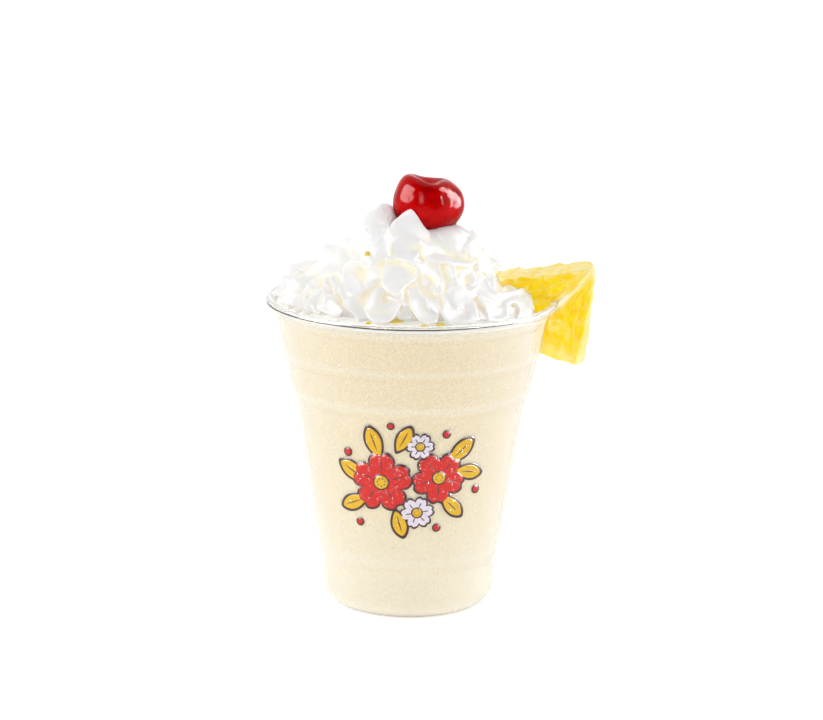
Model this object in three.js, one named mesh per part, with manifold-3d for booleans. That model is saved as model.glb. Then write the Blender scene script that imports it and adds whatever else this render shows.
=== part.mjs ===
// Pina colada frappe in a clear stepped cup, with a ring of piped whipped cream,
// a stemless cherry on top and a pineapple wedge slotted onto the rim.
// Millimetres, +Z up. The origin is the middle of the cup's flat base; the wedge
// sits at +X and the side seen first faces -Y.
import * as THREE from "three";
import { mergeVertices } from "three/addons/utils/BufferGeometryUtils.js";
import Module from "manifold-3d";

const wasm = await Module();
wasm.setup();

// ---------------------------------------------------------------- sizes
const SEG = 48; // facets round the cup and the drink
const GAP = 0.3; // free gap between neighbouring pieces

// cup
const WALL = 0.6;
const FLOOR = 0.9;
const CONTACT_R = 24; // flat base
const HEEL_H = 6.5; // quarter ellipse from the base up to the side
const HEEL_R = 29.5;
const GROOVE = { r0: 16.5, r1: 19.5, depth: 0.35 }; // ring pressed into the underside
const BEAD_Z = 103.8; // middle of the rolled rim
const BEAD_R = 1.2;
const RIM_R = 49; // outside of the rolled rim
// the side's steps: height and outside radius of each break in the wall
const SIDE = [
  [15.1, 29.85],
  [18.5, 30.9], // lower step
  [69.5, 38.55],
  [74.3, 40.5], // middle step
  [82.8, 42.2],
  [86.8, 43.4], // upper step
  [97.6, 45.3],
  [98.5, 45.75], // neck
  [101.6, 46.3],
];

// drink: its level at the wall and under the cream
const LEVEL_WALL = 102.4;
const LEVEL_DOME = 105.4;
const DOME_R = 35;

// whipped cream: two piped rings and a top, each a rope from a star nozzle
const FINS = 7;
const RINGS = [
  // R ring radius, z height, rope outer radius, wob side waves, twist in fins, pulses of the flow
  { R: 32.3, z: 109.5, rope: 11.6, groove: 0.62, wob: 0.8, rise: 1.1, twist: 10, pulse: 0.1, pulses: 17, lag: 1.3, steps: 84, phase: 0.4 },
  { R: 18.6, z: 121.6, rope: 10.4, groove: 0.62, wob: 0.9, rise: 1.2, twist: -6, pulse: 0.11, pulses: 11, lag: 1.2, steps: 54, phase: 1.9 },
];
// the last turn closes into a twisted dollop under the cherry
const TOP = { pos: [1.5, -0.5], z0: 118, z1: 132.5, r: 15.5, groove: 0.74, twist: 75 };
// peaks drawn off at the end of the piping: foot, tip and foot radius
const PEAKS = [
  { foot: [-0.7, -7.3, 125.7], tip: [-0.4, -9.4, 135.6], r: 6.3 },
  { foot: [-9.5, 1.5, 125], tip: [-10.2, 1.2, 136.2], r: 7.2 },
  { foot: [15.5, -4.5, 121.5], tip: [19.5, -4.2, 131.2], r: 8.4 },
];

// cherry
const CHERRY = { pos: [5.9, -1.6, 137.4], rx: 11.9, ry: 11.3, rz: 11.9, dimple: 5, dimpleR: 0.62, crease: 0.07 };

// pineapple wedge: a sector whose point is up and outwards, cut from the curved side for the rim
const WEDGE = { apexX: 62.2, apexZ: 117.6, radius: 34.2, from: 185.5, to: 264.6, thick: 13, round: 2.6, bevel: 1.1, azimuth: 3, slot: 7, slotW: 1.7, slotLean: 33 };

// ---------------------------------------------------------------- helpers
const deg = (a) => (a * Math.PI) / 180;
const v2 = (x, y) => new THREE.Vector2(x, y);

// a closed surface as a solid for joining and cutting
function solid(geometry, matrix) {
  let g = geometry.index ? geometry.toNonIndexed() : geometry.clone();
  g = new THREE.BufferGeometry().setAttribute("position", g.getAttribute("position"));
  if (matrix) g.applyMatrix4(matrix);
  const m = mergeVertices(g, 1e-3);
  const s = new wasm.Manifold(
    new wasm.Mesh({ numProp: 3, vertProperties: new Float32Array(m.attributes.position.array), triVerts: new Uint32Array(m.index.array) }),
  );
  return s;
}

// joins the two ends of every edge shorter than `least`, where that keeps the surface closed
function tidy(verts, tris, least) {
  const at = (i) => new THREE.Vector3(verts[i * 3], verts[i * 3 + 1], verts[i * 3 + 2]);
  const faces = [];
  const around = new Map(); // vertex -> set of face numbers
  for (let i = 0; i < tris.length; i += 3) {
    const f = [tris[i], tris[i + 1], tris[i + 2]];
    faces.push(f);
    f.forEach((v) => (around.has(v) ? around.get(v).add(faces.length - 1) : around.set(v, new Set([faces.length - 1]))));
  }
  const ring = (v) => {
    const s = new Set();
    around.get(v).forEach((f) => faces[f].forEach((w) => w !== v && s.add(w)));
    return s;
  };
  let moved = true;
  while (moved) {
    moved = false;
    for (let n = 0; n < faces.length; n++) {
      const f = faces[n];
      if (!f) continue;
      for (let e = 0; e < 3; e++) {
        const a = f[e];
        const b = f[(e + 1) % 3];
        if (at(a).distanceTo(at(b)) >= least) continue;
        const ra = ring(a);
        const shared = [...ring(b)].filter((v) => ra.has(v));
        const both = [...around.get(a)].filter((x) => around.get(b).has(x));
        if (shared.length !== 2 || both.length !== 2) continue;
        // no face may turn over
        const turns = [...around.get(b)].some((x) => {
          if (both.includes(x)) return false;
          const before = new THREE.Triangle(...faces[x].map(at)).getNormal(new THREE.Vector3());
          const after = new THREE.Triangle(...faces[x].map((v) => at(v === b ? a : v)));
          return after.getArea() < 1e-9 || after.getNormal(new THREE.Vector3()).dot(before) < 0.2;
        });
        if (turns) continue;
        both.forEach((x) => {
          faces[x].forEach((v) => around.get(v).delete(x));
          faces[x] = null;
        });
        around.get(b).forEach((x) => {
          faces[x] = faces[x].map((v) => (v === b ? a : v));
          around.get(a).add(x);
        });
        around.delete(b);
        moved = true;
        break;
      }
    }
  }
  return faces.filter(Boolean).flat();
}

// the surface of the largest body of a solid
function geometryOf(s, least = 0.05) {
  const one = s.decompose().sort((a, b) => b.volume() - a.volume())[0];
  const m = one.getMesh();
  const n = m.numProp;
  const v = new Float32Array(m.numVert * 3);
  for (let i = 0; i < m.numVert; i++) v.set(m.vertProperties.subarray(i * n, i * n + 3), i * 3);
  let g = new THREE.BufferGeometry();
  g.setAttribute("position", new THREE.BufferAttribute(v, 3));
  g.setIndex(tidy(v, Array.from(m.triVerts), least));
  g = mergeVertices(g.toNonIndexed(), 1e-5);
  g.computeVertexNormals();
  return g;
}

// turns a profile of (radius, height) round the Z axis
function turned(profile, segments = SEG) {
  const g = new THREE.LatheGeometry(profile, segments);
  g.rotateX(Math.PI / 2);
  return g;
}

// ---------------------------------------------------------------- cup
// outside of the wall, from the base up to the bead, moved outwards by `grow`
function outside(grow = 0) {
  const pts = [];
  const n = 5;
  for (let i = 0; i <= n; i++) {
    const t = (i / n) * (Math.PI / 2);
    pts.push([HEEL_H - HEEL_H * Math.cos(t), CONTACT_R + (HEEL_R - CONTACT_R) * Math.sin(t)]);
  }
  pts.push(...SIDE);
  return pts.map(([z, r]) => [z, r + grow]);
}

function bead(radius, from, to, n) {
  const pts = [];
  for (let i = 0; i <= n; i++) {
    const a = deg(from + ((to - from) * i) / n);
    pts.push([BEAD_Z + radius * Math.sin(a), RIM_R - BEAD_R + radius * Math.cos(a)]);
  }
  return pts;
}

function cupProfile() {
  const out = outside();
  const inn = out.filter(([z]) => z > FLOOR + 1).map(([z, r]) => [z, r - WALL]);
  const p = [v2(0, 0), v2(GROOVE.r0, 0), v2(GROOVE.r0 + 0.6, GROOVE.depth), v2(GROOVE.r1 - 0.6, GROOVE.depth), v2(GROOVE.r1, 0)];
  out.forEach(([z, r]) => p.push(v2(r, z)));
  bead(BEAD_R, 232, 540, 9).forEach(([z, r]) => p.push(v2(r, z)));
  inn.reverse().forEach(([z, r]) => p.push(v2(r, z)));
  p.push(v2(CONTACT_R - 0.4, FLOOR + 0.35), v2(CONTACT_R - 2.4, FLOOR), v2(0, FLOOR));
  return p;
}

// everything within `grow` of the wall and the bead, to cut a neighbour's slit
function wallCutter(grow) {
  const out = outside(grow).filter(([z]) => z > 30);
  const p = [];
  out.forEach(([z, r]) => p.push(v2(r, z)));
  bead(BEAD_R + grow, 235, 500, 10).forEach(([z, r]) => p.push(v2(r, z)));
  out
    .slice()
    .reverse()
    .forEach(([z, r]) => p.push(v2(r - WALL - 2 * grow, z)));
  p.push(p[0].clone());
  return solid(turned(p));
}

// ---------------------------------------------------------------- drink
function drinkProfile() {
  const inn = outside(-WALL - GAP).filter(([z]) => z > FLOOR + 1.2 && z < LEVEL_WALL);
  const p = [v2(0, FLOOR + GAP), v2(CONTACT_R - 2.4, FLOOR + GAP)];
  inn.forEach(([z, r]) => p.push(v2(r, z)));
  const top = inn[inn.length - 1][1];
  p.push(v2(top + 0.1, LEVEL_WALL));
  const n = 4;
  for (let i = 1; i <= n; i++) {
    const t = i / n;
    p.push(v2(top + (DOME_R - top) * t, LEVEL_WALL + (LEVEL_DOME - LEVEL_WALL) * Math.sin((t * Math.PI) / 2)));
  }
  p.push(v2(0, LEVEL_DOME));
  return p;
}

// ---------------------------------------------------------------- whipped cream
// one closed ring of rope: fins and grooves run along it, twist round it, swell with the
// pulses of the flow, and lag behind the middle of the rope, so that they ruffle
function ropeRing(k) {
  const across = FINS * 2;
  const pos = [];
  const idx = [];
  const at = (i, j) => (i % k.steps) * across + (j % across);
  for (let i = 0; i < k.steps; i++) {
    const s = (i / k.steps) * 2 * Math.PI;
    for (let j = 0; j < across; j++) {
      const fin = j % 2 === 0 ? 1 : 0;
      const which = Math.floor(j / 2);
      const turn = (j / across) * 2 * Math.PI + ((2 * Math.PI) / FINS) * k.twist * (s / (2 * Math.PI));
      const beat = Math.sin(k.pulses * s + which * 2.1 + k.phase);
      const r = k.rope * (fin ? 1 : k.groove) * (1 + k.pulse * beat);
      const lag = (fin * k.lag * Math.cos(k.pulses * s + which * 2.1 + k.phase)) / k.R;
      const a = s + lag;
      const R = k.R + k.wob * Math.sin(3 * s + k.phase) + r * Math.cos(turn);
      const z = k.z + k.rise * Math.sin(2 * s + k.phase * 2) + r * Math.sin(turn);
      pos.push(R * Math.cos(a), R * Math.sin(a), z);
    }
  }
  for (let i = 0; i < k.steps; i++)
    for (let j = 0; j < across; j++) {
      idx.push(at(i, j), at(i + 1, j), at(i + 1, j + 1), at(i, j), at(i + 1, j + 1), at(i, j + 1));
    }
  return closed(pos, idx);
}

// the ring's twist is a whole number of fins, so its last section meets its first one, shifted by `twist` fins
function closed(pos, idx) {
  const g = new THREE.BufferGeometry();
  g.setAttribute("position", new THREE.Float32BufferAttribute(pos, 3));
  g.setIndex(idx);
  let s = solid(g);
  if (s.volume() < 0) {
    const back = [];
    for (let i = 0; i < idx.length; i += 3) back.push(idx[i], idx[i + 2], idx[i + 1]);
    g.setIndex(back);
    s = solid(g);
  }
  return s;
}

// a rounded cone with the nozzle's fins twisted round it
function dollop() {
  const across = FINS * 2;
  const rows = 9;
  const pos = [];
  const idx = [];
  for (let i = 0; i < rows; i++) {
    const t = i / rows;
    for (let j = 0; j < across; j++) {
      const a = (j / across) * 2 * Math.PI + deg(TOP.twist) * t;
      const r = TOP.r * Math.sqrt(1 - Math.pow(t, 2.2)) * (j % 2 === 0 ? 1 : TOP.groove);
      pos.push(TOP.pos[0] + r * Math.cos(a), TOP.pos[1] + r * Math.sin(a), TOP.z0 + (TOP.z1 - TOP.z0) * t);
    }
  }
  const foot = rows * across;
  pos.push(TOP.pos[0], TOP.pos[1], TOP.z0, TOP.pos[0], TOP.pos[1], TOP.z1);
  for (let i = 0; i < rows - 1; i++)
    for (let j = 0; j < across; j++) {
      const a = i * across + j;
      const b = i * across + ((j + 1) % across);
      idx.push(a, b, b + across, a, b + across, a + across);
    }
  for (let j = 0; j < across; j++) {
    idx.push(foot, (j + 1) % across, j);
    idx.push(foot + 1, (rows - 1) * across + j, (rows - 1) * across + ((j + 1) % across));
  }
  return closed(pos, idx);
}

// a soft cone drawn up from its foot to a leaning tip
function peak({ foot, tip, r }) {
  const n = 10;
  const rows = 5;
  const f = new THREE.Vector3(...foot);
  const t = new THREE.Vector3(...tip);
  const pos = [];
  const idx = [];
  for (let i = 0; i < rows; i++) {
    const u = i / rows;
    const c = f.clone().lerp(t, u);
    const rr = r * (1 - Math.pow(u, 1.5));
    for (let j = 0; j < n; j++) {
      const a = (j / n) * 2 * Math.PI;
      pos.push(c.x + rr * Math.cos(a), c.y + rr * Math.sin(a), c.z);
    }
  }
  const foot0 = rows * n;
  pos.push(f.x, f.y, f.z, t.x, t.y, t.z);
  for (let i = 0; i < rows - 1; i++)
    for (let j = 0; j < n; j++) {
      const a = i * n + j;
      const b = i * n + ((j + 1) % n);
      idx.push(a, b, b + n, a, b + n, a + n);
    }
  for (let j = 0; j < n; j++) {
    idx.push(foot0, (j + 1) % n, j);
    idx.push(foot0 + 1, (rows - 1) * n + j, (rows - 1) * n + ((j + 1) % n));
  }
  return closed(pos, idx);
}

function creamCore() {
  const p = [v2(0, LEVEL_DOME - 1), v2(34, LEVEL_DOME - 1), v2(33, 110), v2(20, 120), v2(9, 128), v2(0, 130)];
  return solid(turned(p, 24));
}

// ---------------------------------------------------------------- cherry
function cherryGeometry(grow = 0) {
  const across = 22;
  const down = 14;
  const pos = [];
  const idx = [];
  const c = CHERRY;
  const point = (th, ph) => {
    // th from the top, ph round; a stem dimple at the top, and a shallow seam down one side
    let r = 1 + c.crease * -Math.exp(-Math.pow(Math.atan2(Math.sin(ph + 1.35), Math.cos(ph + 1.35)) / 0.45, 2)) * Math.sin(th);
    const h = Math.cos(th);
    const dip = c.dimple * Math.exp(-Math.pow(Math.sin(th) / c.dimpleR, 2) * 3) * (h > 0 ? 1 : 0.12);
    return [
      c.pos[0] + (c.rx + grow) * r * Math.sin(th) * Math.cos(ph),
      c.pos[1] + (c.ry + grow) * r * Math.sin(th) * Math.sin(ph),
      c.pos[2] + (c.rz + grow) * h * (1 - 0.06 * (1 - h)) - dip * (h > 0 ? 1 : -1),
    ];
  };
  pos.push(...point(0, 0));
  for (let i = 1; i < down; i++) for (let j = 0; j < across; j++) pos.push(...point((i / down) * Math.PI, (j / across) * 2 * Math.PI));
  pos.push(...point(Math.PI, 0));
  const last = 1 + (down - 1) * across;
  for (let j = 0; j < across; j++) {
    idx.push(0, 1 + j, 1 + ((j + 1) % across));
    idx.push(last, 1 + (down - 2) * across + ((j + 1) % across), 1 + (down - 2) * across + j);
    for (let i = 1; i < down - 1; i++) {
      const a = 1 + (i - 1) * across + j;
      const b = 1 + (i - 1) * across + ((j + 1) % across);
      idx.push(a, a + across, b + across, a, b + across, b);
    }
  }
  return closed(pos, idx);
}

// ---------------------------------------------------------------- pineapple wedge
function wedgeSolid(grow = 0) {
  const w = WEDGE;
  const s = new THREE.Shape();
  const a0 = deg(w.from);
  const a1 = deg(w.to);
  const pts = [];
  // rounded point
  const k = 4;
  for (let i = 0; i <= k; i++) {
    const a = a1 + Math.PI / 2 + ((a0 - Math.PI / 2 - (a1 - 2 * Math.PI) - Math.PI / 2) * 0 + ((Math.PI - (a1 - a0)) * i) / k);
    const mid = (a0 + a1) / 2;
    const d = w.round / Math.sin((a1 - a0) / 2);
    pts.push([d * Math.cos(mid) + w.round * Math.cos(a), d * Math.sin(mid) + w.round * Math.sin(a)]);
  }
  // curved side, a little uneven as cut by hand
  const n = 14;
  for (let i = 0; i <= n; i++) {
    const t = i / n;
    const a = a0 + (a1 - a0) * t;
    const r = w.radius * (1 + 0.012 * Math.sin(7 * t) - 0.01 * Math.sin(17 * t));
    pts.push([r * Math.cos(a), r * Math.sin(a)]);
  }
  pts.forEach(([x, y], i) => {
    const gx = x;
    const gy = y;
    if (i === 0) s.moveTo(gx, gy);
    else s.lineTo(gx, gy);
  });
  s.closePath();
  const g = new THREE.ExtrudeGeometry(s, { depth: w.thick - 2 * w.bevel, bevelEnabled: true, bevelThickness: w.bevel + grow, bevelSize: grow, bevelOffset: 0, bevelSegments: 2, curveSegments: 6 });
  // the shape lies in XZ, its thickness along Y
  const m = new THREE.Matrix4().makeRotationZ(deg(w.azimuth));
  m.multiply(new THREE.Matrix4().makeTranslation(w.apexX, w.thick / 2 - w.bevel, w.apexZ));
  m.multiply(new THREE.Matrix4().makeRotationX(Math.PI / 2));
  return solid(g, m);
}

// the cut above the bead, which leans towards the wedge's point
function slotSolid() {
  const w = WEDGE;
  const g = new THREE.BoxGeometry(w.slotW, w.thick + 8, w.slot + 2);
  const m = new THREE.Matrix4().makeRotationZ(deg(w.azimuth));
  m.multiply(new THREE.Matrix4().makeTranslation(RIM_R - BEAD_R - 0.3, 0, BEAD_Z));
  m.multiply(new THREE.Matrix4().makeRotationY(deg(w.slotLean)));
  m.multiply(new THREE.Matrix4().makeTranslation(0, 0, (w.slot + 2) / 2));
  return solid(g, m);
}

// ---------------------------------------------------------------- assembly
const root = new THREE.Group();
function add(name, geometry, colour, roughness, extra = {}) {
  const mesh = new THREE.Mesh(geometry, new THREE.MeshStandardMaterial({ color: new THREE.Color().setRGB(...colour), roughness, metalness: 0, ...extra }));
  mesh.name = name;
  root.add(mesh);
  return mesh;
}

const cup = solid(turned(cupProfile()));
const wedge = wedgeSolid().subtract(wallCutter(GAP + 0.05)).subtract(slotSolid());
const cherry = cherryGeometry();
const wedgeRoom = wedgeSolid(GAP);
const drinkWhole = solid(turned(drinkProfile()));
const drink = drinkWhole.subtract(wedgeRoom);

let cream = creamCore();
RINGS.forEach((k) => {
  cream = cream.add(ropeRing(k));
});
cream = cream.add(dollop());
PEAKS.forEach((k) => {
  cream = cream.add(peak(k));
});
// the drink's own shape, grown by the gap, is cut off the cream's underside
const drinkRoom = solid(turned([v2(0, 60), v2(60, 60), v2(60, LEVEL_WALL + GAP), v2(44.6, LEVEL_WALL + GAP), v2(41.5, LEVEL_WALL + 2.1), v2(38, LEVEL_DOME + 0.2), v2(DOME_R, LEVEL_DOME + GAP), v2(0, LEVEL_DOME + GAP)]));
cream = cream.subtract(drinkRoom).subtract(wallCutter(GAP)).subtract(wedgeRoom).subtract(cherryGeometry(GAP));

add("cup", geometryOf(cup), [0.93, 0.95, 0.95], 0.08, { transparent: true, opacity: 0.3 });
add("drink", geometryOf(drink), [0.95, 0.9, 0.76], 0.5);
add("whipped_cream", geometryOf(cream), [0.98, 0.97, 0.95], 0.5);
add("cherry", geometryOf(cherry), [0.75, 0.02, 0.03], 0.12);
add("pineapple_wedge", geometryOf(wedge), [0.97, 0.82, 0.2], 0.35);

export default root;
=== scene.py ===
import math

import bmesh
import bpy
import numpy as np
from mathutils import Matrix, Vector, noise
from mathutils.bvhtree import BVHTree


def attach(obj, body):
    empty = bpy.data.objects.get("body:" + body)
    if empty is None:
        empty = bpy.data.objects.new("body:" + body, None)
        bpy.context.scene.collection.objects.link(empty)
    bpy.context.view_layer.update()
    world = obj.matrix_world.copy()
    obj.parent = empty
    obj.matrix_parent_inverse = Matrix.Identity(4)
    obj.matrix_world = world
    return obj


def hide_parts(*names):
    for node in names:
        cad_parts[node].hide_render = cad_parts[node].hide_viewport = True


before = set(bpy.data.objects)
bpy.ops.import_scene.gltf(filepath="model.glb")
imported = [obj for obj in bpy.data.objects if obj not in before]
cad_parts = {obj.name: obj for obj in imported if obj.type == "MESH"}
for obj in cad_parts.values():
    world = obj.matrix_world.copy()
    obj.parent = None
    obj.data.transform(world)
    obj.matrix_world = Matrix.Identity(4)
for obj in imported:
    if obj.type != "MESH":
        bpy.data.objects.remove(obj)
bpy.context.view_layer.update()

rng = np.random.default_rng(7)
TAU = 2 * math.pi

# ------------------------------------------------------------------ sizes, in millimetres
WALL = 0.6
FLOOR_T = 0.9
CONTACT_R = 24.0
HEEL_H = 6.5
HEEL_R = 29.5
BEAD_Z = 103.8
BEAD_R = 1.2
RIM_R = 49.0
SIDE = [
    (15.1, 29.85), (18.5, 30.9), (69.5, 38.55), (74.3, 40.5), (82.8, 42.2),
    (86.8, 43.4), (97.6, 45.3), (98.5, 45.75), (101.6, 46.3),
]
LEVEL_WALL = 102.4
LEVEL_DOME = 105.3
CHERRY_POS = np.array([5.9, -1.6, 137.4])
CHERRY_SHIFT = np.array([-0.85, 0.0, -0.80])
WEDGE_AZ = math.radians(3)


# ------------------------------------------------------------------ mesh helpers
def build(name, verts, faces, smooth=True):
    """A mesh object from millimetre points; faces is a list, or an (n, 3 or 4) array."""
    me = bpy.data.meshes.new(name)
    v = np.asarray(verts, dtype=np.float64) * 0.001
    me.vertices.add(len(v))
    me.vertices.foreach_set("co", v.astype(np.float32).ravel())
    if isinstance(faces, np.ndarray):
        n, k = faces.shape
        me.loops.add(n * k)
        me.loops.foreach_set("vertex_index", faces.astype(np.int32).ravel())
        me.polygons.add(n)
        me.polygons.foreach_set("loop_start", (np.arange(n) * k).astype(np.int32))
    else:
        counts = np.array([len(f) for f in faces], dtype=np.int32)
        me.loops.add(int(counts.sum()))
        me.loops.foreach_set("vertex_index", np.array([i for f in faces for i in f], dtype=np.int32))
        me.polygons.add(len(faces))
        me.polygons.foreach_set("loop_start", np.concatenate([[0], np.cumsum(counts)[:-1]]).astype(np.int32))
    me.update(calc_edges=True)
    me.validate()
    if smooth:
        me.shade_smooth()
    o = bpy.data.objects.new(name, me)
    bpy.context.scene.collection.objects.link(o)
    return o


def coords(o):
    a = np.empty(len(o.data.vertices) * 3, dtype=np.float32)
    o.data.vertices.foreach_get("co", a)
    return a.reshape(-1, 3).astype(np.float64) * 1000


def set_coords(o, v):
    o.data.vertices.foreach_set("co", (np.asarray(v) * 0.001).astype(np.float32).ravel())
    o.data.update()


def normals(o):
    a = np.empty(len(o.data.vertices) * 3, dtype=np.float32)
    o.data.vertices.foreach_get("normal", a)
    return a.reshape(-1, 3).astype(np.float64)


def attribute(o, name, values):
    at = o.data.attributes.new(name, "FLOAT", "POINT")
    at.data.foreach_set("value", np.asarray(values, dtype=np.float32))


def grid_faces(n, m, wrap_u, wrap_v):
    """Quads of an n by m grid of points stored row by row."""
    iu = np.arange(n if wrap_u else n - 1)
    iv = np.arange(m if wrap_v else m - 1)
    u, v = np.meshgrid(iu, iv, indexing="ij")
    u2, v2 = (u + 1) % n, (v + 1) % m
    return np.stack([u * m + v, u2 * m + v, u2 * m + v2, u * m + v2], axis=-1).reshape(-1, 4)


def apply_mods(o):
    dg = bpy.context.evaluated_depsgraph_get()
    me = bpy.data.meshes.new_from_object(o.evaluated_get(dg))
    old = o.data
    o.modifiers.clear()
    o.data = me
    me.name = o.name
    bpy.data.meshes.remove(old)
    return o


def neighbours(o):
    me = o.data
    e = np.empty(len(me.edges) * 2, dtype=np.int32)
    me.edges.foreach_get("vertices", e)
    e = e.reshape(-1, 2)
    n = len(me.vertices)
    deg = np.bincount(e.ravel(), minlength=n).astype(np.float64)
    return e, np.maximum(deg, 1)


def smooth_field(x, e, deg, times, f=0.5):
    """Averages a value, or points, over each vertex's neighbours."""
    x = x.astype(np.float64).copy()
    two = x.ndim == 2
    for _ in range(times):
        if two:
            s = np.stack([
                np.bincount(e[:, 0], weights=x[e[:, 1], k], minlength=len(x)) + np.bincount(e[:, 1], weights=x[e[:, 0], k], minlength=len(x))
                for k in range(x.shape[1])], axis=1)
            x = x + f * (s / deg[:, None] - x)
        else:
            s = np.bincount(e[:, 0], weights=x[e[:, 1]], minlength=len(x)) + np.bincount(e[:, 1], weights=x[e[:, 0]], minlength=len(x))
            x = x + f * (s / deg - x)
    return x


def remesh(o, size_mm, smooth_times=0):
    m = o.modifiers.new("remesh", "REMESH")
    m.mode = "VOXEL"
    m.voxel_size = size_mm * 0.001
    m.adaptivity = 0
    m.use_smooth_shade = True
    apply_mods(o)
    if smooth_times:
        e, deg = neighbours(o)
        set_coords(o, smooth_field(coords(o), e, deg, smooth_times))
    return o


def join(objs, name):
    vs, fs, off = [], [], 0
    for o in objs:
        vs.append(coords(o))
        fs += [[i + off for i in p.vertices] for p in o.data.polygons]
        off += len(o.data.vertices)
        me = o.data
        bpy.data.objects.remove(o)
        bpy.data.meshes.remove(me)
    return build(name, np.concatenate(vs), fs)


def boolean(o, cutter, op="DIFFERENCE", keep=False):
    m = o.modifiers.new("cut", "BOOLEAN")
    m.operation = op
    m.solver = "MANIFOLD"
    m.object = cutter
    apply_mods(o)
    if not keep:
        me = cutter.data
        bpy.data.objects.remove(cutter)
        bpy.data.meshes.remove(me)
    return o


def lathe(name, profile, seg=256, closed_profile=False):
    """profile: (radius, height) points from the axis and back to it, or a closed ring of them."""
    p = np.asarray(profile, dtype=float)
    a = np.arange(seg) / seg * TAU
    if closed_profile:
        v = np.stack([p[None, :, 0] * np.cos(a)[:, None], p[None, :, 0] * np.sin(a)[:, None], np.broadcast_to(p[None, :, 1], (seg, len(p)))], axis=-1)
        return build(name, v.reshape(-1, 3), grid_faces(seg, len(p), True, True))
    inner = p[1:-1]
    m = len(inner)
    v = np.stack([inner[None, :, 0] * np.cos(a)[:, None], inner[None, :, 0] * np.sin(a)[:, None], np.broadcast_to(inner[None, :, 1], (seg, m))], axis=-1).reshape(-1, 3)
    f = [list(q) for q in grid_faces(seg, m, True, False)]
    first, last = seg * m, seg * m + 1
    v = np.concatenate([v, [[0, 0, p[0, 1]], [0, 0, p[-1, 1]]]])
    for j in range(seg):
        k = (j + 1) % seg
        f.append([first, k * m, j * m])
        f.append([last, j * m + m - 1, k * m + m - 1])
    return build(name, v, f)


def fix_normals(o):
    bm = bmesh.new()
    bm.from_mesh(o.data)
    bmesh.ops.recalc_face_normals(bm, faces=bm.faces)
    bm.to_mesh(o.data)
    bm.free()
    return o


def fbm(p, scale, octaves=3, seed=0.0):
    """Smooth noise at each point of p (millimetres)."""
    out = np.empty(len(p))
    off = Vector((seed * 13.7, seed * 7.1, -seed * 3.3))
    for i, q in enumerate(p):
        out[i] = noise.fractal(Vector(q) / scale + off, 1.0, 2.0, octaves)
    return out


# ------------------------------------------------------------------ material helpers
class Mat:
    def __init__(self, name):
        self.m = bpy.data.materials.new(name)
        self.m.use_nodes = True
        self.t = self.m.node_tree
        self.t.nodes.clear()
        self.out = self.t.nodes.new("ShaderNodeOutputMaterial")

    def n(self, kind, **props):
        node = self.t.nodes.new("ShaderNode" + kind)
        for k, v in props.items():
            if k.startswith("i_"):
                node.inputs[k[2:].replace("_", " ")].default_value = v
            else:
                setattr(node, k, v)
        return node

    def link(self, a, b):
        self.t.links.new(a, b)

    def ramp(self, fac, stops, mode="LINEAR"):
        r = self.n("ValToRGB")
        r.color_ramp.interpolation = mode
        el = r.color_ramp.elements
        while len(el) > 1:
            el.remove(el[-1])
        for i, (pos, col) in enumerate(stops):
            x = el[0] if i == 0 else el.new(pos)
            x.position = pos
            x.color = tuple(col) + ((1,) if len(col) == 3 else ())
        self.link(fac, r.inputs["Fac"])
        return r

    def mix(self, fac, a, b, blend="MIX"):
        x = self.n("Mix", data_type="RGBA", blend_type=blend)
        for sock, val in ((x.inputs[0], fac), (x.inputs[6], a), (x.inputs[7], b)):
            if hasattr(val, "is_output"):
                self.link(val, sock)
            else:
                sock.default_value = val if isinstance(val, (int, float)) else (tuple(val) + ((1,) if len(val) == 3 else ()))
        return x.outputs[2]

    def math(self, op, a, b=None, clamp=False):
        x = self.n("Math", operation=op, use_clamp=clamp)
        for i, val in enumerate((a, b)):
            if val is None:
                continue
            if hasattr(val, "is_output"):
                self.link(val, x.inputs[i])
            else:
                x.inputs[i].default_value = val
        return x.outputs[0]

    def noise(self, coord, scale, detail=3, rough=0.55, dist=0.0):
        x = self.n("TexNoise")
        x.inputs["Scale"].default_value = scale
        x.inputs["Detail"].default_value = detail
        x.inputs["Roughness"].default_value = rough
        x.inputs["Distortion"].default_value = dist
        self.link(coord, x.inputs["Vector"])
        return x.outputs["Fac"]

    def attr(self, name):
        x = self.n("Attribute")
        x.attribute_name = name
        return x.outputs["Fac"]

    def coord(self):
        return self.n("TexCoord").outputs["Object"]

    def bump(self, height, strength, distance, normal=None):
        b = self.n("Bump")
        b.inputs["Strength"].default_value = strength
        b.inputs["Distance"].default_value = distance
        self.link(height, b.inputs["Height"])
        if normal is not None:
            self.link(normal, b.inputs["Normal"])
        return b.outputs["Normal"]


def srgb(r, g, b):
    """sRGB 0-255 to linear."""
    return tuple((c / 255 / 12.92) if c / 255 <= 0.04045 else ((c / 255 + 0.055) / 1.055) ** 2.4 for c in (r, g, b))


def finish_piece(o, mat, slot, *nodes):
    o.data.materials.clear()
    o.data.materials.append(mat.m)
    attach(o, "root")
    if nodes:
        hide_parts(*nodes)
    return o


# ------------------------------------------------------------------ camera
cam_data = bpy.data.cameras.new("camera")
cam_data.sensor_width = 36
cam_data.sensor_fit = "HORIZONTAL"
cam_data.lens = 2600 * 36 / 823
cam_data.clip_start = 0.01
cam_data.clip_end = 50
cam = bpy.data.objects.new("camera", cam_data)
bpy.context.scene.collection.objects.link(cam)
cam.matrix_world = (
    Matrix.Translation((0.00015, -0.85683, (BEAD_Z + 178.55) * 0.001))
    @ Matrix.Rotation(math.radians(90 - 13.10), 4, "X")
    @ Matrix.Rotation(math.radians(0.75), 4, "Z")
)
bpy.context.scene.camera = cam

# ------------------------------------------------------------------ light and floor
scene = bpy.context.scene
scene.view_settings.view_transform = "Standard"
scene.view_settings.look = "None"
scene.view_settings.exposure = 0
scene.view_settings.gamma = 1

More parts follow.
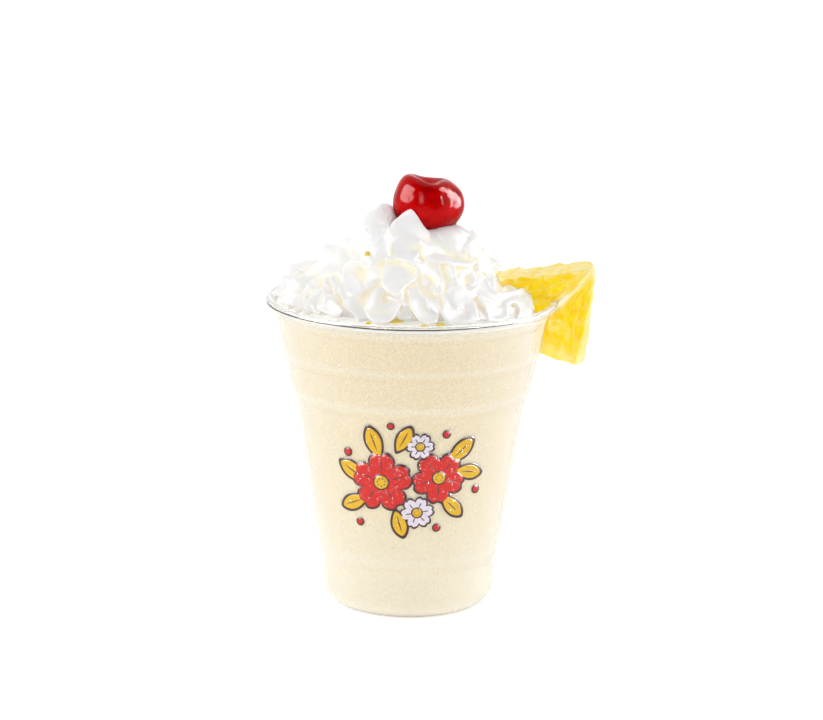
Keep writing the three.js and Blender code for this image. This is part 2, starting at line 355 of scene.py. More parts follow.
ROOM, SWEEP, AMBIENT = 0.03, 0.95, 0.26
world = bpy.data.worlds.new("studio")
scene.world = world
world.use_nodes = True
wt = world.node_tree
wb = wt.nodes["Background"]
wb.inputs["Color"].default_value = (1, 1, 1, 1)
# a white sweep behind and below, a dimmer room in front; the backdrop itself shows as white
wc = wt.nodes.new("ShaderNodeTexCoord")
wx = wt.nodes.new("ShaderNodeSeparateXYZ")
wr = wt.nodes.new("ShaderNodeMapRange")
wr.interpolation_type = "SMOOTHSTEP"
wr.inputs["From Min"].default_value = -0.45
wr.inputs["From Max"].default_value = 0.35
wr.inputs["To Min"].default_value = ROOM
wr.inputs["To Max"].default_value = SWEEP
wl = wt.nodes.new("ShaderNodeLightPath")
wm = wt.nodes.new("ShaderNodeMix")
wt.links.new(wc.outputs["Generated"], wx.inputs[0])
wt.links.new(wx.outputs["Y"], wr.inputs["Value"])
wt.links.new(wl.outputs["Is Camera Ray"], wm.inputs[0])
wa = wt.nodes.new("ShaderNodeMath")
wa.operation = "MULTIPLY"
wt.links.new(wl.outputs["Is Diffuse Ray"], wa.inputs[0])
wa.inputs[1].default_value = AMBIENT
wb2 = wt.nodes.new("ShaderNodeMath")
wb2.operation = "MAXIMUM"
wt.links.new(wr.outputs["Result"], wb2.inputs[0])
wt.links.new(wa.outputs[0], wb2.inputs[1])
wt.links.new(wb2.outputs[0], wm.inputs[2])
wm.inputs[3].default_value = 1.0
wt.links.new(wm.outputs[0], wb.inputs["Strength"])


def area(name, loc, target, size, power, color=(1, 1, 1), size_y=None):
    d = bpy.data.lights.new(name, "AREA")
    d.energy = power
    d.color = color
    d.size = size
    if size_y:
        d.shape = "RECTANGLE"
        d.size_y = size_y
    o = bpy.data.objects.new(name, d)
    scene.collection.objects.link(o)
    o.location = loc
    o.rotation_euler = (Vector(target) - Vector(loc)).to_track_quat("-Z", "Y").to_euler()
    return o


def only(o, diffuse=True, glossy=True):
    """Which rays a light answers to."""
    o.visible_diffuse = diffuse
    o.visible_glossy = glossy
    o.visible_transmission = glossy
    return o


area("left", (-0.85, -0.20, 0.45), (0, 0, 0.10), 0.70, 1.80, size_y=0.60)
area("right", (0.85, -0.20, 0.38), (0, 0, 0.10), 0.60, 1.15, size_y=0.60)
area("top", (0.0, 0.05, 1.15), (0, 0, 0.10), 0.70, 1.25)
only(area("fill", (-0.18, -1.50, 0.78), (0, 0, 0.07), 0.80, 5.48), glossy=False)
only(area("card_left", (-0.82, -0.17, 0.50), (0, 0, 0.14), 0.62, 25.0, size_y=0.60), diffuse=False)
only(area("card_right", (0.84, 0.14, 0.46), (0, 0, 0.14), 0.44, 62.0, size_y=1.15), diffuse=False)
only(area("card_strip", (0.66, -0.52, 0.46), (0, 0, 0.14), 0.06, 8.0, size_y=0.50), diffuse=False)
only(area("card_inner", (-0.37, -0.80, 0.52), (0, 0, 0.14), 0.25, 3.4, size_y=0.44), diffuse=False)

floor = build("floor", [(-6000, -6000, -0.02), (6000, -6000, -0.02), (6000, 6000, -0.02), (-6000, 6000, -0.02)], [[0, 1, 2, 3]])
fm = Mat("floor")
fd = fm.n("BsdfDiffuse")
fd.inputs["Color"].default_value = (0.86, 0.86, 0.86, 1)
fe = fm.n("Emission")
fe.inputs["Color"].default_value = (1, 1, 1, 1)
fa = fm.n("AddShader")
fl = fm.n("LightPath")
fm.link(fm.math("ADD", fm.math("MULTIPLY", fl.outputs["Is Camera Ray"], 0.15), 0.38), fe.inputs["Strength"])
fm.link(fd.outputs[0], fa.inputs[0])
fm.link(fe.outputs[0], fa.inputs[1])
fm.link(fa.outputs[0], fm.out.inputs["Surface"])
floor.data.materials.append(fm.m)


# ------------------------------------------------------------------ cup
def spline(points, per):
    """Catmull-Rom through the points, `per` steps a span."""
    p = np.asarray(points, dtype=float)
    q = np.concatenate([[2 * p[0] - p[1]], p, [2 * p[-1] - p[-2]]])
    out = []
    for i in range(1, len(q) - 2):
        for k in range(per):
            t = k / per
            out.append(0.5 * ((2 * q[i]) + (-q[i - 1] + q[i + 1]) * t + (2 * q[i - 1] - 5 * q[i] + 4 * q[i + 1] - q[i + 2]) * t * t + (-q[i - 1] + 3 * q[i] - 3 * q[i + 1] + q[i + 2]) * t ** 3))
    out.append(q[-2])
    return np.array(out)


def fillet(points, radius):
    """Rounds the corners of an open polyline of (radius, height)."""
    p = [np.array(x, dtype=float) for x in points]
    out = [p[0]]
    for i in range(1, len(p) - 1):
        a, b, c = p[i - 1], p[i], p[i + 1]
        la, lc = np.linalg.norm(a - b), np.linalg.norm(c - b)
        r = min(radius, la * 0.45, lc * 0.45)
        s, e = b + (a - b) / la * r, b + (c - b) / lc * r
        for k in range(6):
            t = k / 5
            out.append((1 - t) ** 2 * s + 2 * t * (1 - t) * b + t * t * e)
    out.append(p[-1])
    return np.array(out)


def outside(grow=0.0):
    """The wall's outside as (radius, height), from the base up to the bead."""
    heel = []
    for i in range(17):
        t = i / 16 * math.pi / 2
        heel.append((CONTACT_R + (HEEL_R - CONTACT_R) * math.sin(t) + grow * math.sin(t), HEEL_H - HEEL_H * math.cos(t) - grow * math.cos(t)))
    side = fillet([heel[-1]] + [(r + grow, z) for z, r in SIDE], 1.1)
    return np.array(heel[:-1] + [tuple(x) for x in side])


def wall_radius(z):
    o = outside()
    return np.interp(z, o[:, 1], o[:, 0])


def cup_profile():
    p = [(0, 0), (15.8, 0)]
    for i in range(9):
        t = i / 8
        p.append((16.2 + 3.6 * t, 0.35 * math.sin(math.pi * t) ** 0.7 if 0 < t < 1 else 0))
    p.append((20.2, 0))
    out = outside()
    p += [tuple(x) for x in out]
    for i in range(29):
        a = math.radians(232 + (540 - 232) * i / 28)
        p.append((RIM_R - BEAD_R + BEAD_R * math.cos(a), BEAD_Z + BEAD_R * math.sin(a)))
    inn = outside(-WALL)
    inn = inn[inn[:, 1] > FLOOR_T + 1.2]
    p += [tuple(x) for x in inn[::-1]]
    p += [(CONTACT_R - 0.3, FLOOR_T + 0.45), (CONTACT_R - 2.4, FLOOR_T), (0, FLOOR_T)]
    return p


cup = fix_normals(lathe("cup_shell", cup_profile(), 288))

cm = Mat("clear_plastic")
gl = cm.n("BsdfPrincipled")
gl.inputs["Base Color"].default_value = (0.985, 0.99, 0.99, 1)
gl.inputs["Roughness"].default_value = 0.04
gl.inputs["IOR"].default_value = 1.54
gl.inputs["Transmission Weight"].default_value = 1.0
gl.inputs["Sheen Weight"].default_value = 0.75
gl.inputs["Sheen Roughness"].default_value = 0.5
tr = cm.n("BsdfTransparent")
tr.inputs["Color"].default_value = (0.97, 0.97, 0.965, 1)
lp = cm.n("LightPath")
mx = cm.n("MixShader")
co = cm.coord()
wv = cm.noise(co, 60.0, 2, 0.5)
cm.link(cm.bump(wv, 0.08, 0.0006), gl.inputs["Normal"])
sh = cm.math("MAXIMUM", lp.outputs["Is Shadow Ray"], lp.outputs["Is Diffuse Ray"])
cm.link(sh, mx.inputs[0])
cm.link(gl.outputs[0], mx.inputs[1])
cm.link(tr.outputs[0], mx.inputs[2])
cm.link(mx.outputs[0], cm.out.inputs["Surface"])
finish_piece(cup, cm, "clear_cup", "cup")


# ------------------------------------------------------------------ drink
def drink_profile():
    inn = outside(-WALL + 0.2)
    inn = inn[(inn[:, 1] > FLOOR_T + 0.9) & (inn[:, 1] < LEVEL_WALL - 0.4)]
    p = [(0, FLOOR_T - 0.15), (CONTACT_R - 2.2, FLOOR_T - 0.15), (CONTACT_R - 0.2, FLOOR_T + 0.25)]
    for z in np.arange(inn[0][1], inn[-1][1], 0.7):
        p.append((float(np.interp(z, inn[:, 1], inn[:, 0])), float(z)))
    p.append(tuple(inn[-1]))
    top = inn[-1][0]
    p += [(top + 0.05, LEVEL_WALL + 0.1), (top - 0.25, LEVEL_WALL + 0.05)]
    for i in range(1, 19):
        t = i / 18
        p.append((top - 0.25 + (34 - top) * t, LEVEL_WALL + (LEVEL_DOME - LEVEL_WALL) * math.sin(min(1.0, t * 2.3) * math.pi / 2)))
    p.append((0, LEVEL_DOME))
    return p


drink = fix_normals(lathe("frappe_body", drink_profile(), 512))
v = coords(drink)
r, a = np.hypot(v[:, 0], v[:, 1]), np.degrees(np.arctan2(v[:, 1], v[:, 0]))
dip = np.exp(-(((a + 4) / 27) ** 4)) * np.clip((r - 24) / 8, 0, 1)
v[:, 2] -= dip * np.clip(v[:, 2] - LEVEL_WALL - 0.12, 0, 9) * 0.8
attribute(drink, "top", np.clip((v[:, 2] - LEVEL_WALL + 0.3) / 0.5, 0, 1))
# a little juice runs down the wall beside the wedge
juice = np.exp(-(((v[:, 1] + 8.6) / 1.7) ** 2)) * np.clip((v[:, 0] - 40) / 3, 0, 1) * np.clip((v[:, 2] - 84) / 8, 0, 1)
attribute(drink, "juice", juice * 0.55)


def sunk(v):
    """How far the drink's surface lies lower by the wedge."""
    r, a = np.hypot(v[:, 0], v[:, 1]), np.degrees(np.arctan2(v[:, 1], v[:, 0]))
    return 2.1 * np.exp(-(((a + 10) / 20) ** 4)) * np.clip((r - 33) / 6, 0, 1)


v[:, 2] -= sunk(v) * np.clip((v[:, 2] - 98.8) / 3.4, 0, 1)
set_coords(drink, v)

dm = Mat("frappe")
co = dm.coord()
big = dm.noise(co, 55.0, 3, 0.6)
mid = dm.noise(co, 900.0, 3, 0.65)
fine = dm.noise(co, 2400.0, 2, 0.6)
base = dm.ramp(big, [(0.32, srgb(247, 233, 197)), (0.7, srgb(250, 238, 207))]).outputs[0]
spk = dm.ramp(mid, [(0.34, srgb(240, 216, 162)), (0.47, srgb(248, 234, 199)), (0.56, srgb(250, 238, 208)), (0.70, srgb(255, 250, 236))]).outputs[0]
col = dm.mix(0.45, base, spk)
warm = dm.ramp(fine, [(0.60, (0, 0, 0)), (0.72, (1, 1, 1))]).outputs[0]
col = dm.mix(dm.math("MULTIPLY", warm, 0.22), col, srgb(232, 206, 158))
dsep = dm.n("SeparateXYZ")
dm.link(co, dsep.inputs[0])
# partly its own colour, partly painted light: the drink is painted lighter and paler towards the foot, standing in for
# light the floor sends up there
rise = dm.ramp(dm.math("MULTIPLY", dsep.outputs[2], 10.0), [(0.05, (1.0, 0.965, 0.885)), (0.35, (1.0, 0.950, 0.830)), (0.80, (0.952, 0.900, 0.755)), (0.985, (0.948, 0.888, 0.745))]).outputs[0]
col = dm.mix(1.0, col, rise, "MULTIPLY")
# painted shade: darker warm bands are painted along each step, where the wall is thicker
wob = dm.math("MULTIPLY", dm.math("SUBTRACT", dm.noise(co, 40.0, 2, 0.5), 0.5), 0.012)
hz = dm.math("ADD", dm.math("MULTIPLY", dsep.outputs[2], 10.0), wob)
stops = [(0.0, (0, 0, 0))]
for at, half in ((0.178, 0.012), (0.720, 0.012), (0.852, 0.010), (0.985, 0.007)):
    stops += [(at - half, (0, 0, 0)), (at, (1, 1, 1)), (at + half * 0.8, (0, 0, 0))]
line = dm.ramp(hz, stops).outputs[0]
col = dm.mix(dm.math("MULTIPLY", line, 0.42), col, srgb(234, 208, 150))
# painted highlight: pale bands just above the foot and beside each step
stops = [(0.0, (0, 0, 0)), (0.030, (0, 0, 0)), (0.043, (1, 1, 1)), (0.058, (0, 0, 0))]
for at, half in ((0.206, 0.020), (0.748, 0.018), (0.876, 0.014), (0.998, 0.006)):
    stops += [(at - half, (0, 0, 0)), (at, (1, 1, 1)), (min(at + half, 1.0), (0, 0, 0))] if at + half < 1 else [(at - half, (0, 0, 0)), (at, (1, 1, 1))]
step_highlight = dm.ramp(hz, stops).outputs[0]
col = dm.mix(dm.math("MULTIPLY", step_highlight, 0.34), col, srgb(255, 251, 241))
# painted light: the drink is painted paler near the foot, standing in for light from the floor
foot = dm.ramp(dm.math("MULTIPLY", dsep.outputs[2], 10.0), [(0.08, (1, 1, 1)), (0.40, (0, 0, 0))]).outputs[0]
col = dm.mix(dm.math("MULTIPLY", foot, 0.85), col, srgb(255, 243, 214))
spot = dm.ramp(dm.noise(co, 560.0, 1, 0.3), [(0.72, (0, 0, 0)), (0.75, (1, 1, 1))]).outputs[0]
col = dm.mix(dm.math("MULTIPLY", spot, 0.50), col, srgb(240, 205, 128))
grain = dm.ramp(dm.noise(co, 1750.0, 3, 0.75), [(0.38, (0.850, 0.825, 0.755)), (0.62, (1.085, 1.075, 1.06))]).outputs[0]
grainy = dm.ramp(dm.math("MULTIPLY", dsep.outputs[2], 10.0), [(0.25, (0.60, 0.60, 0.60)), (0.80, (1, 1, 1))]).outputs[0]
col = dm.mix(grainy, col, grain, "MULTIPLY")
# partly melted cream, partly painted light: the drink's top ring is painted pale to lift it out of the cream's shade
col = dm.mix(dm.attr("top"), col, srgb(255, 251, 241))
col = dm.mix(dm.attr("juice"), col, srgb(251, 222, 96))
db = dm.n("BsdfPrincipled")
# painted light: the drink's top ring glows a little, standing in for light under the cream
dm.link(dm.mix(dm.attr("top"), (0, 0, 0), (1.0, 0.96, 0.87)), db.inputs["Emission Color"])
db.inputs["Emission Strength"].default_value = 0.19
db.inputs["Sheen Weight"].default_value = 1.0
db.inputs["Sheen Roughness"].default_value = 0.80
db.inputs["Roughness"].default_value = 0.42
db.inputs["Subsurface Weight"].default_value = 0.25
db.inputs["Subsurface Radius"].default_value = (1.0, 0.85, 0.6)
db.inputs["Subsurface Scale"].default_value = 0.002
dm.link(col, db.inputs["Base Color"])
dm.link(dm.bump(fine, 0.25, 0.0004), db.inputs["Normal"])
dm.link(db.outputs[0], dm.out.inputs["Surface"])
finish_piece(drink, dm, "frappe", "drink")


# ------------------------------------------------------------------ whipped cream
def profile_table(points, sigma, n=512):
    """A closed curve through (u, height) points with its corners rounded."""
    u, h = np.array(points).T
    x = np.arange(n) / n
    y = np.interp(x, np.concatenate([u - 1, u, u + 1]), np.concatenate([h, h, h]))
    f = np.fft.rfftfreq(n, 1 / n)
    return np.fft.irfft(np.fft.rfft(y) * np.exp(-2 * (math.pi * f * sigma) ** 2), n)


# one fin from hollow to hollow: thin blades with hollowed faces, or a fuller scoop
FIN_A = profile_table([(0, 0), (0.08, 0.05), (0.17, 0.30), (0.235, 0.80), (0.265, 1.0), (0.295, 1.0), (0.34, 0.80), (0.45, 0.52), (0.62, 0.30), (0.80, 0.14), (0.92, 0.04)], 0.011)
FIN_B = profile_table([(0, 0), (0.06, 0.10), (0.14, 0.60), (0.20, 0.98), (0.25, 1.0), (0.36, 0.86), (0.55, 0.80), (0.72, 0.66), (0.86, 0.34)], 0.014)


def look_up(table, u):
    x = (u % 1.0) * len(table)
    i = np.floor(x).astype(int) % len(table)
    f = x - np.floor(x)
    return table[i] * (1 - f) + table[(i + 1) % len(table)] * f


def piped_ring(name, R, z, rx, rz, marks, m, depth, lean, seed, steps=1000, across=240, tilt=(0, 0), centre=(0, 0), mixb=0.35, pit=1.0, knob=0.0, sink=0.0, trim=()):
    """A ring of cream whose fins cross it. marks are the azimuths (degrees) of the hollows."""
    r = np.random.default_rng(seed)
    n = len(marks)
    th = np.linspace(0, TAU, steps, endpoint=False)
    marks = np.radians(np.asarray(marks, dtype=float))
    ext = np.concatenate([marks - TAU, marks, marks + TAU])
    count = np.interp(th, ext, np.arange(-n, 2 * n))
    ph = np.linspace(0, TAU, across, endpoint=False)
    T, P = np.meshgrid(th, ph, indexing="ij")
    C = np.broadcast_to(count[:, None], T.shape)
    k = np.floor(C).astype(int) % n
    w = C - np.floor(C)
    blend = w * w * (3 - 2 * w)

    def per_fin(lo, hi):
        a = r.uniform(lo, hi, n)
        return a[k] * (1 - blend) + a[(k + 1) % n] * blend

    # the fins bend as they climb, each its own way
    psi = C + m * P / TAU + per_fin(-0.22, 0.22) * np.sin(P + 0.3) + per_fin(-0.14, 0.14) * np.sin(2 * P + 1.0)
    psi = psi + 0.08 * np.sin(5 * T + 2 * P + seed) + 0.05 * np.sin(11 * T - 3 * P + 2 * seed)
    kk = np.floor(psi).astype(int) % n
    u = psi - np.floor(psi)

    def own(lo, hi):
        """A value of each fin's own, eased at the hollows so that the surface stays whole."""
        a = r.uniform(lo, hi, n)
        e = np.clip(u / 0.06, 0, 1)
        e = e * e * (3 - 2 * e)
        return a[(kk - 1) % n] * (1 - e) + a[kk] * e

    sort = own(0, 1)
    share = np.clip((sort - (1 - mixb)) / 0.15 + 0.5, 0, 1)
    F = look_up(FIN_A, u) * (1 - share) + look_up(FIN_B, u) * share
    amp = own(0.86, 1.12)
    # each hollow is deepest at its own height, and closes above and below
    mid = own(-0.5, 0.5)
    wide = own(0.9, 1.5)
    hollow = np.exp(-((np.arctan2(np.sin(P - mid), np.cos(P - mid)) / wide) ** 2))
    top = np.exp(-((np.arctan2(np.sin(P - 1.6), np.cos(P - 1.6)) / 0.9) ** 2))
    cut = depth * (0.30 + 0.70 * np.clip(hollow * pit + 0.35 * top, 0, 1))
    size = 1 + 0.045 * np.sin(3 * T + seed) + 0.05 * np.sin(7 * T + 2.1 * seed + np.sin(P)) + 0.03 * np.sin(13 * T + P)
    rr = (1 - cut * (1 - F)) * (0.93 + 0.07 * amp + 0.10 * (amp - 1) * F) * size
    # the long faces are a little hollowed along the climb too
    rr = rr * (1 - 0.035 * np.cos(2 * P + own(-1.5, 1.5)) * (1 - F) + 0.010 * np.sin(9 * P + 4 * psi))
    # short knobs along the fins, most on the side away from the wedge
    away = 0.25 + 0.75 * np.clip(0.5 - 0.9 * np.cos(T + 0.35), 0, 1)
    rr = rr * (1 + knob * away * np.sin(5 * P + 3 * own(0, TAU) + 2.5 * np.sin(3 * T)) * (0.25 + F))
    along = -(lean * own(0.5, 1.5) * F * (0.4 + 0.6 * hollow)) / R
    # the front is lower here: its petals are laid on one by one
    off = np.abs(np.degrees(np.arctan2(np.sin(T + math.radians(80)), np.cos(T + math.radians(80)))))
    win = np.clip((78 - off) / 22, 0, 1)
    rr = rr * (1 - sink * win * win * (3 - 2 * win))
    for at, wide_, amount in trim:
        rr = rr * (1 - amount * np.exp(-((np.degrees(np.arctan2(np.sin(T - math.radians(at)), np.cos(T - math.radians(at)))) / wide_) ** 2)))
    ang = T + along
    roll = P + 0.12 * F * np.sin(2 * T + seed) + 0.10 * (amp - 1) * F
    x = R + rx * rr * np.cos(roll)
    zz = z + rz * rr * np.sin(roll) + tilt[0] * np.cos(ang) + tilt[1] * np.sin(ang)
    V = np.stack([centre[0] + x * np.cos(ang), centre[1] + x * np.sin(ang), zz], axis=-1)
    return build(name, V.reshape(-1, 3), grid_faces(steps, across, True, True))


def drift(V, seed, amount, size):
    """Bends points by smooth noise, a sum of turning waves."""
    r = np.random.default_rng(seed)
    out = np.zeros_like(V)
    for i in range(7):
        d = r.normal(size=3)
        d /= np.linalg.norm(d)
        w = TAU / (size * r.uniform(0.75, 1.5))
        a = r.normal(size=3)
        a /= np.linalg.norm(a)
        out += a * np.sin(V @ d * w + r.uniform(0, TAU))[:, None]
    return V + out * amount / math.sqrt(7)


def blob(name, c, r, fins=0, depth=0.0, twist=0.0, phase=0.0, flat=1.0, lean=0.0, steps=160, rows=100, point=None):
    """A rounded mound with soft fins; point draws its top out to a peak."""
    v = [(0, 0, -1)]
    a = np.linspace(0, TAU, steps, endpoint=False)
    P = []
    for i in range(1, rows):
        t = i / rows * math.pi
        h = -math.cos(t)
        s = math.sin(t) ** flat
        u = ((a + twist * h + phase) * fins / TAU) % 1.0 if fins else np.zeros_like(a)
        F = look_up(FIN_B, u) if fins else np.ones_like(a)
        q = s * (1 - depth * (1 - F))
        aa = a - lean * F * (1 if fins else 0)
        P.append(np.stack([q * np.cos(aa), q * np.sin(aa), np.full_like(a, h)], axis=-1))
    V = np.concatenate([[[0, 0, -1.0]]] + P + [[[0, 0, 1.0]]])
    V = V * np.asarray(r, dtype=float)
    if point is not None:
        # (dx, dy, dz, sharpness): the upper half is pulled towards a tip
        dx, dy, dz, k = point
        h = np.clip(V[:, 2] / r[2], 0, 1) ** k
        V[:, 0] = V[:, 0] * (1 - 0.55 * h) + dx * h
        V[:, 1] = V[:, 1] * (1 - 0.55 * h) + dy * h
        V[:, 2] += dz * h
    V = V + np.asarray(c, dtype=float)
    f = [[0, 1 + (j + 1) % steps, 1 + j] for j in range(steps)]
    last = len(V) - 1
    base = 1 + (rows - 2) * steps
    f += [[last, base + j, base + (j + 1) % steps] for j in range(steps)]
    f += (grid_faces(rows - 1, steps, False, True) + 1).tolist()
    f = [list(q) for q in f]
    o = build(name, V, f)
    return fix_normals(o)


def blade(name, pts, up, height, width, tip=0.45, ends=0.25, n=60, lean=None, curl=0.0):
    """A thin-edged sheet of cream that stands on a curve: wide at its foot, thin at its edge."""
    c = spline(pts, 12)
    s = np.linspace(0, 1, n)
    L = np.concatenate([[0], np.cumsum(np.linalg.norm(np.diff(c, axis=0), axis=1))])
    c = np.stack([np.interp(s * L[-1], L, c[:, k]) for k in range(3)], axis=-1)
    t = np.gradient(c, axis=0)
    t /= np.linalg.norm(t, axis=1)[:, None]
    up = np.asarray(up, dtype=float)
    if up.ndim == 1:
        up = np.broadcast_to(up, c.shape)
    else:
        up = np.stack([np.interp(s, np.linspace(0, 1, len(up)), up[:, k]) for k in range(3)], axis=-1)
    up = up - (up * t).sum(1)[:, None] * t
    up /= np.linalg.norm(up, axis=1)[:, None]
    side = np.cross(t, up)
    fade = np.sin(np.clip(s / ends, 0, 1) * math.pi / 2) * np.sin(np.clip((1 - s) / ends, 0, 1) * math.pi / 2)
    fade = np.maximum(fade, 0.02) ** 0.7
    m = 36
    V = []
    for i in range(n):
        row = []
        for j in range(m):
            a = j / m * TAU
            # a section like a drop: round foot, long thin edge
            h = math.sin(a)
            w = math.cos(a)
            if h > 0:
                hh = h
                ww = w * ((1 - h ** 1.1) ** 0.55 if h < 1 else 0) * width / 2 + w * tip
                off = side[i] * (ww + curl * h ** 2 * height * fade[i]) + up[i] * (hh * height)
            else:
                off = side[i] * (w * width / 2) + up[i] * (h * width * 0.5)
            row.append(c[i] + off * fade[i])
        V.append(row)
    V = np.array(V)
    f = [list(q) for q in grid_faces(n, m, False, True)]
    f.append(list(range(m))[::-1])
    f.append([(n - 1) * m + j for j in range(m)])
    return fix_normals(build(name, V.reshape(-1, 3), f))

# azimuths of the hollows between the lower lobes: -90 faces the camera, 0 is the wedge's side
LOW_MARKS = [-156, -146, -137, -128, -116, -92.5, -76.8, -59.6, -41.5, -25, -8, 9, 24, 41, 57, 72, 90, 106, 121, 138, 154, 169, -172 + 360]
MID_MARKS = [-170, -152, -133, -116, -97, -75, -52, -30, -8, 14, 36, 58, 79, 101, 124, 146, 168]
HIGH_MARKS = [-150, -112, -78, -40, -4, 32, 70, 106, 142, 176]


# ------------------------------------------------------------------ petals laid on the front
HILL = np.array([(0, 26.0), (6, 25.3), (12, 22.8), (17, 19.6), (23, 15.6), (28, 12.2), (33, 9.0), (38, 5.6), (42, 2.2), (45, -1.0), (60, -12.0)])
CAM_P = np.array(cam.matrix_world.translation) * 1000
CAM_R = np.array(cam.matrix_world.to_3x3())


RELIEF = 0.68


def sight(px, py):
    """The direction in which the camera sees a point of the 823 by 720 frame."""
    d = CAM_R @ np.array([(px - 411.5) / 2600, -(py - 360) / 2600, -1.0])
    return d / np.linalg.norm(d)


def seat(point):
    """A frame point on the hill of cream, lifted towards the camera; a fourth number sets its depth y instead."""
    px, py, lift = point[:3]
    d = sight(px, py)
    if len(point) > 3:
        return CAM_P + d * ((point[3] - CAM_P[1]) / d[1]) - d * lift
    t = np.linspace((-62 - CAM_P[1]) / d[1], (20 - CAM_P[1]) / d[1], 1200)
    P = CAM_P + d * t[:, None]
    gap = P[:, 2] - BEAD_Z - np.interp(np.hypot(P[:, 0] + 1.0, P[:, 1] + 1.0), HILL[:, 0], HILL[:, 1])
    below = np.nonzero(gap < 0)[0]
    k = below[0] if len(below) else int(np.argmin(gap))
    return P[k] - d * lift * RELIEF


def sheet(crest, root, thin=1.05, thick=5.0, sag=0.6, n=56, m=26, wave=0.0, seed=0):
    """A petal between a raised crest and the root where it sinks into the hill."""
    C = spline([seat(p) for p in crest], 10)
    B = spline([seat(p) for p in root], 10)

    def even(c, k):
        L = np.concatenate([[0], np.cumsum(np.linalg.norm(np.diff(c, axis=0), axis=1))])
        s = np.linspace(0, L[-1], k)
        return np.stack([np.interp(s, L, c[:, i]) for i in range(3)], axis=-1)

    C, B = even(C, n), even(B, n)
    s = np.linspace(0, 1, m)
    ease = s ** 0.8
    top = C[:, None, :] * (1 - ease)[None, :, None] + B[:, None, :] * ease[None, :, None]
    away = top - CAM_P
    away /= np.linalg.norm(away, axis=-1)[..., None]
    q = np.arange(n) / (n - 1)
    hollow = sag * 4 * s[None, :] * (1 - s[None, :]) * (0.35 + 0.65 * np.sin(math.pi * q)[:, None])
    if wave:
        hollow = hollow + wave * np.sin(6.5 * q[:, None] * math.pi + seed) * np.sin(math.pi * s)[None, :]
    top = top + away * hollow[..., None]
    # its thickness lies square to the face, and its body behind the face
    N = np.cross(np.gradient(top, axis=0), np.gradient(top, axis=1))
    N /= np.maximum(np.linalg.norm(N, axis=-1), 1e-9)[..., None]
    N *= np.where((N * away).sum(-1) < 0, -1.0, 1.0)[..., None]
    low = top + N * thin + away * ((thick - thin) * s ** 0.7)[None, :, None]
    out = top[:, 0] - top[:, 2]
    out /= np.maximum(np.linalg.norm(out, axis=-1), 1e-9)[:, None]
    lip = 0.5 * (top[:, 0] + low[:, 0]) + out * thin * 0.4
    ring = np.concatenate([lip[:, None], top, low[:, ::-1]], axis=1)
    k = ring.shape[1]
    f = [list(x) for x in grid_faces(n, k, False, True)]
    f.append(list(range(k))[::-1])
    f.append([(n - 1) * k + j for j in range(k)])
    return fix_normals(build("petal", ring.reshape(-1, 3), f))


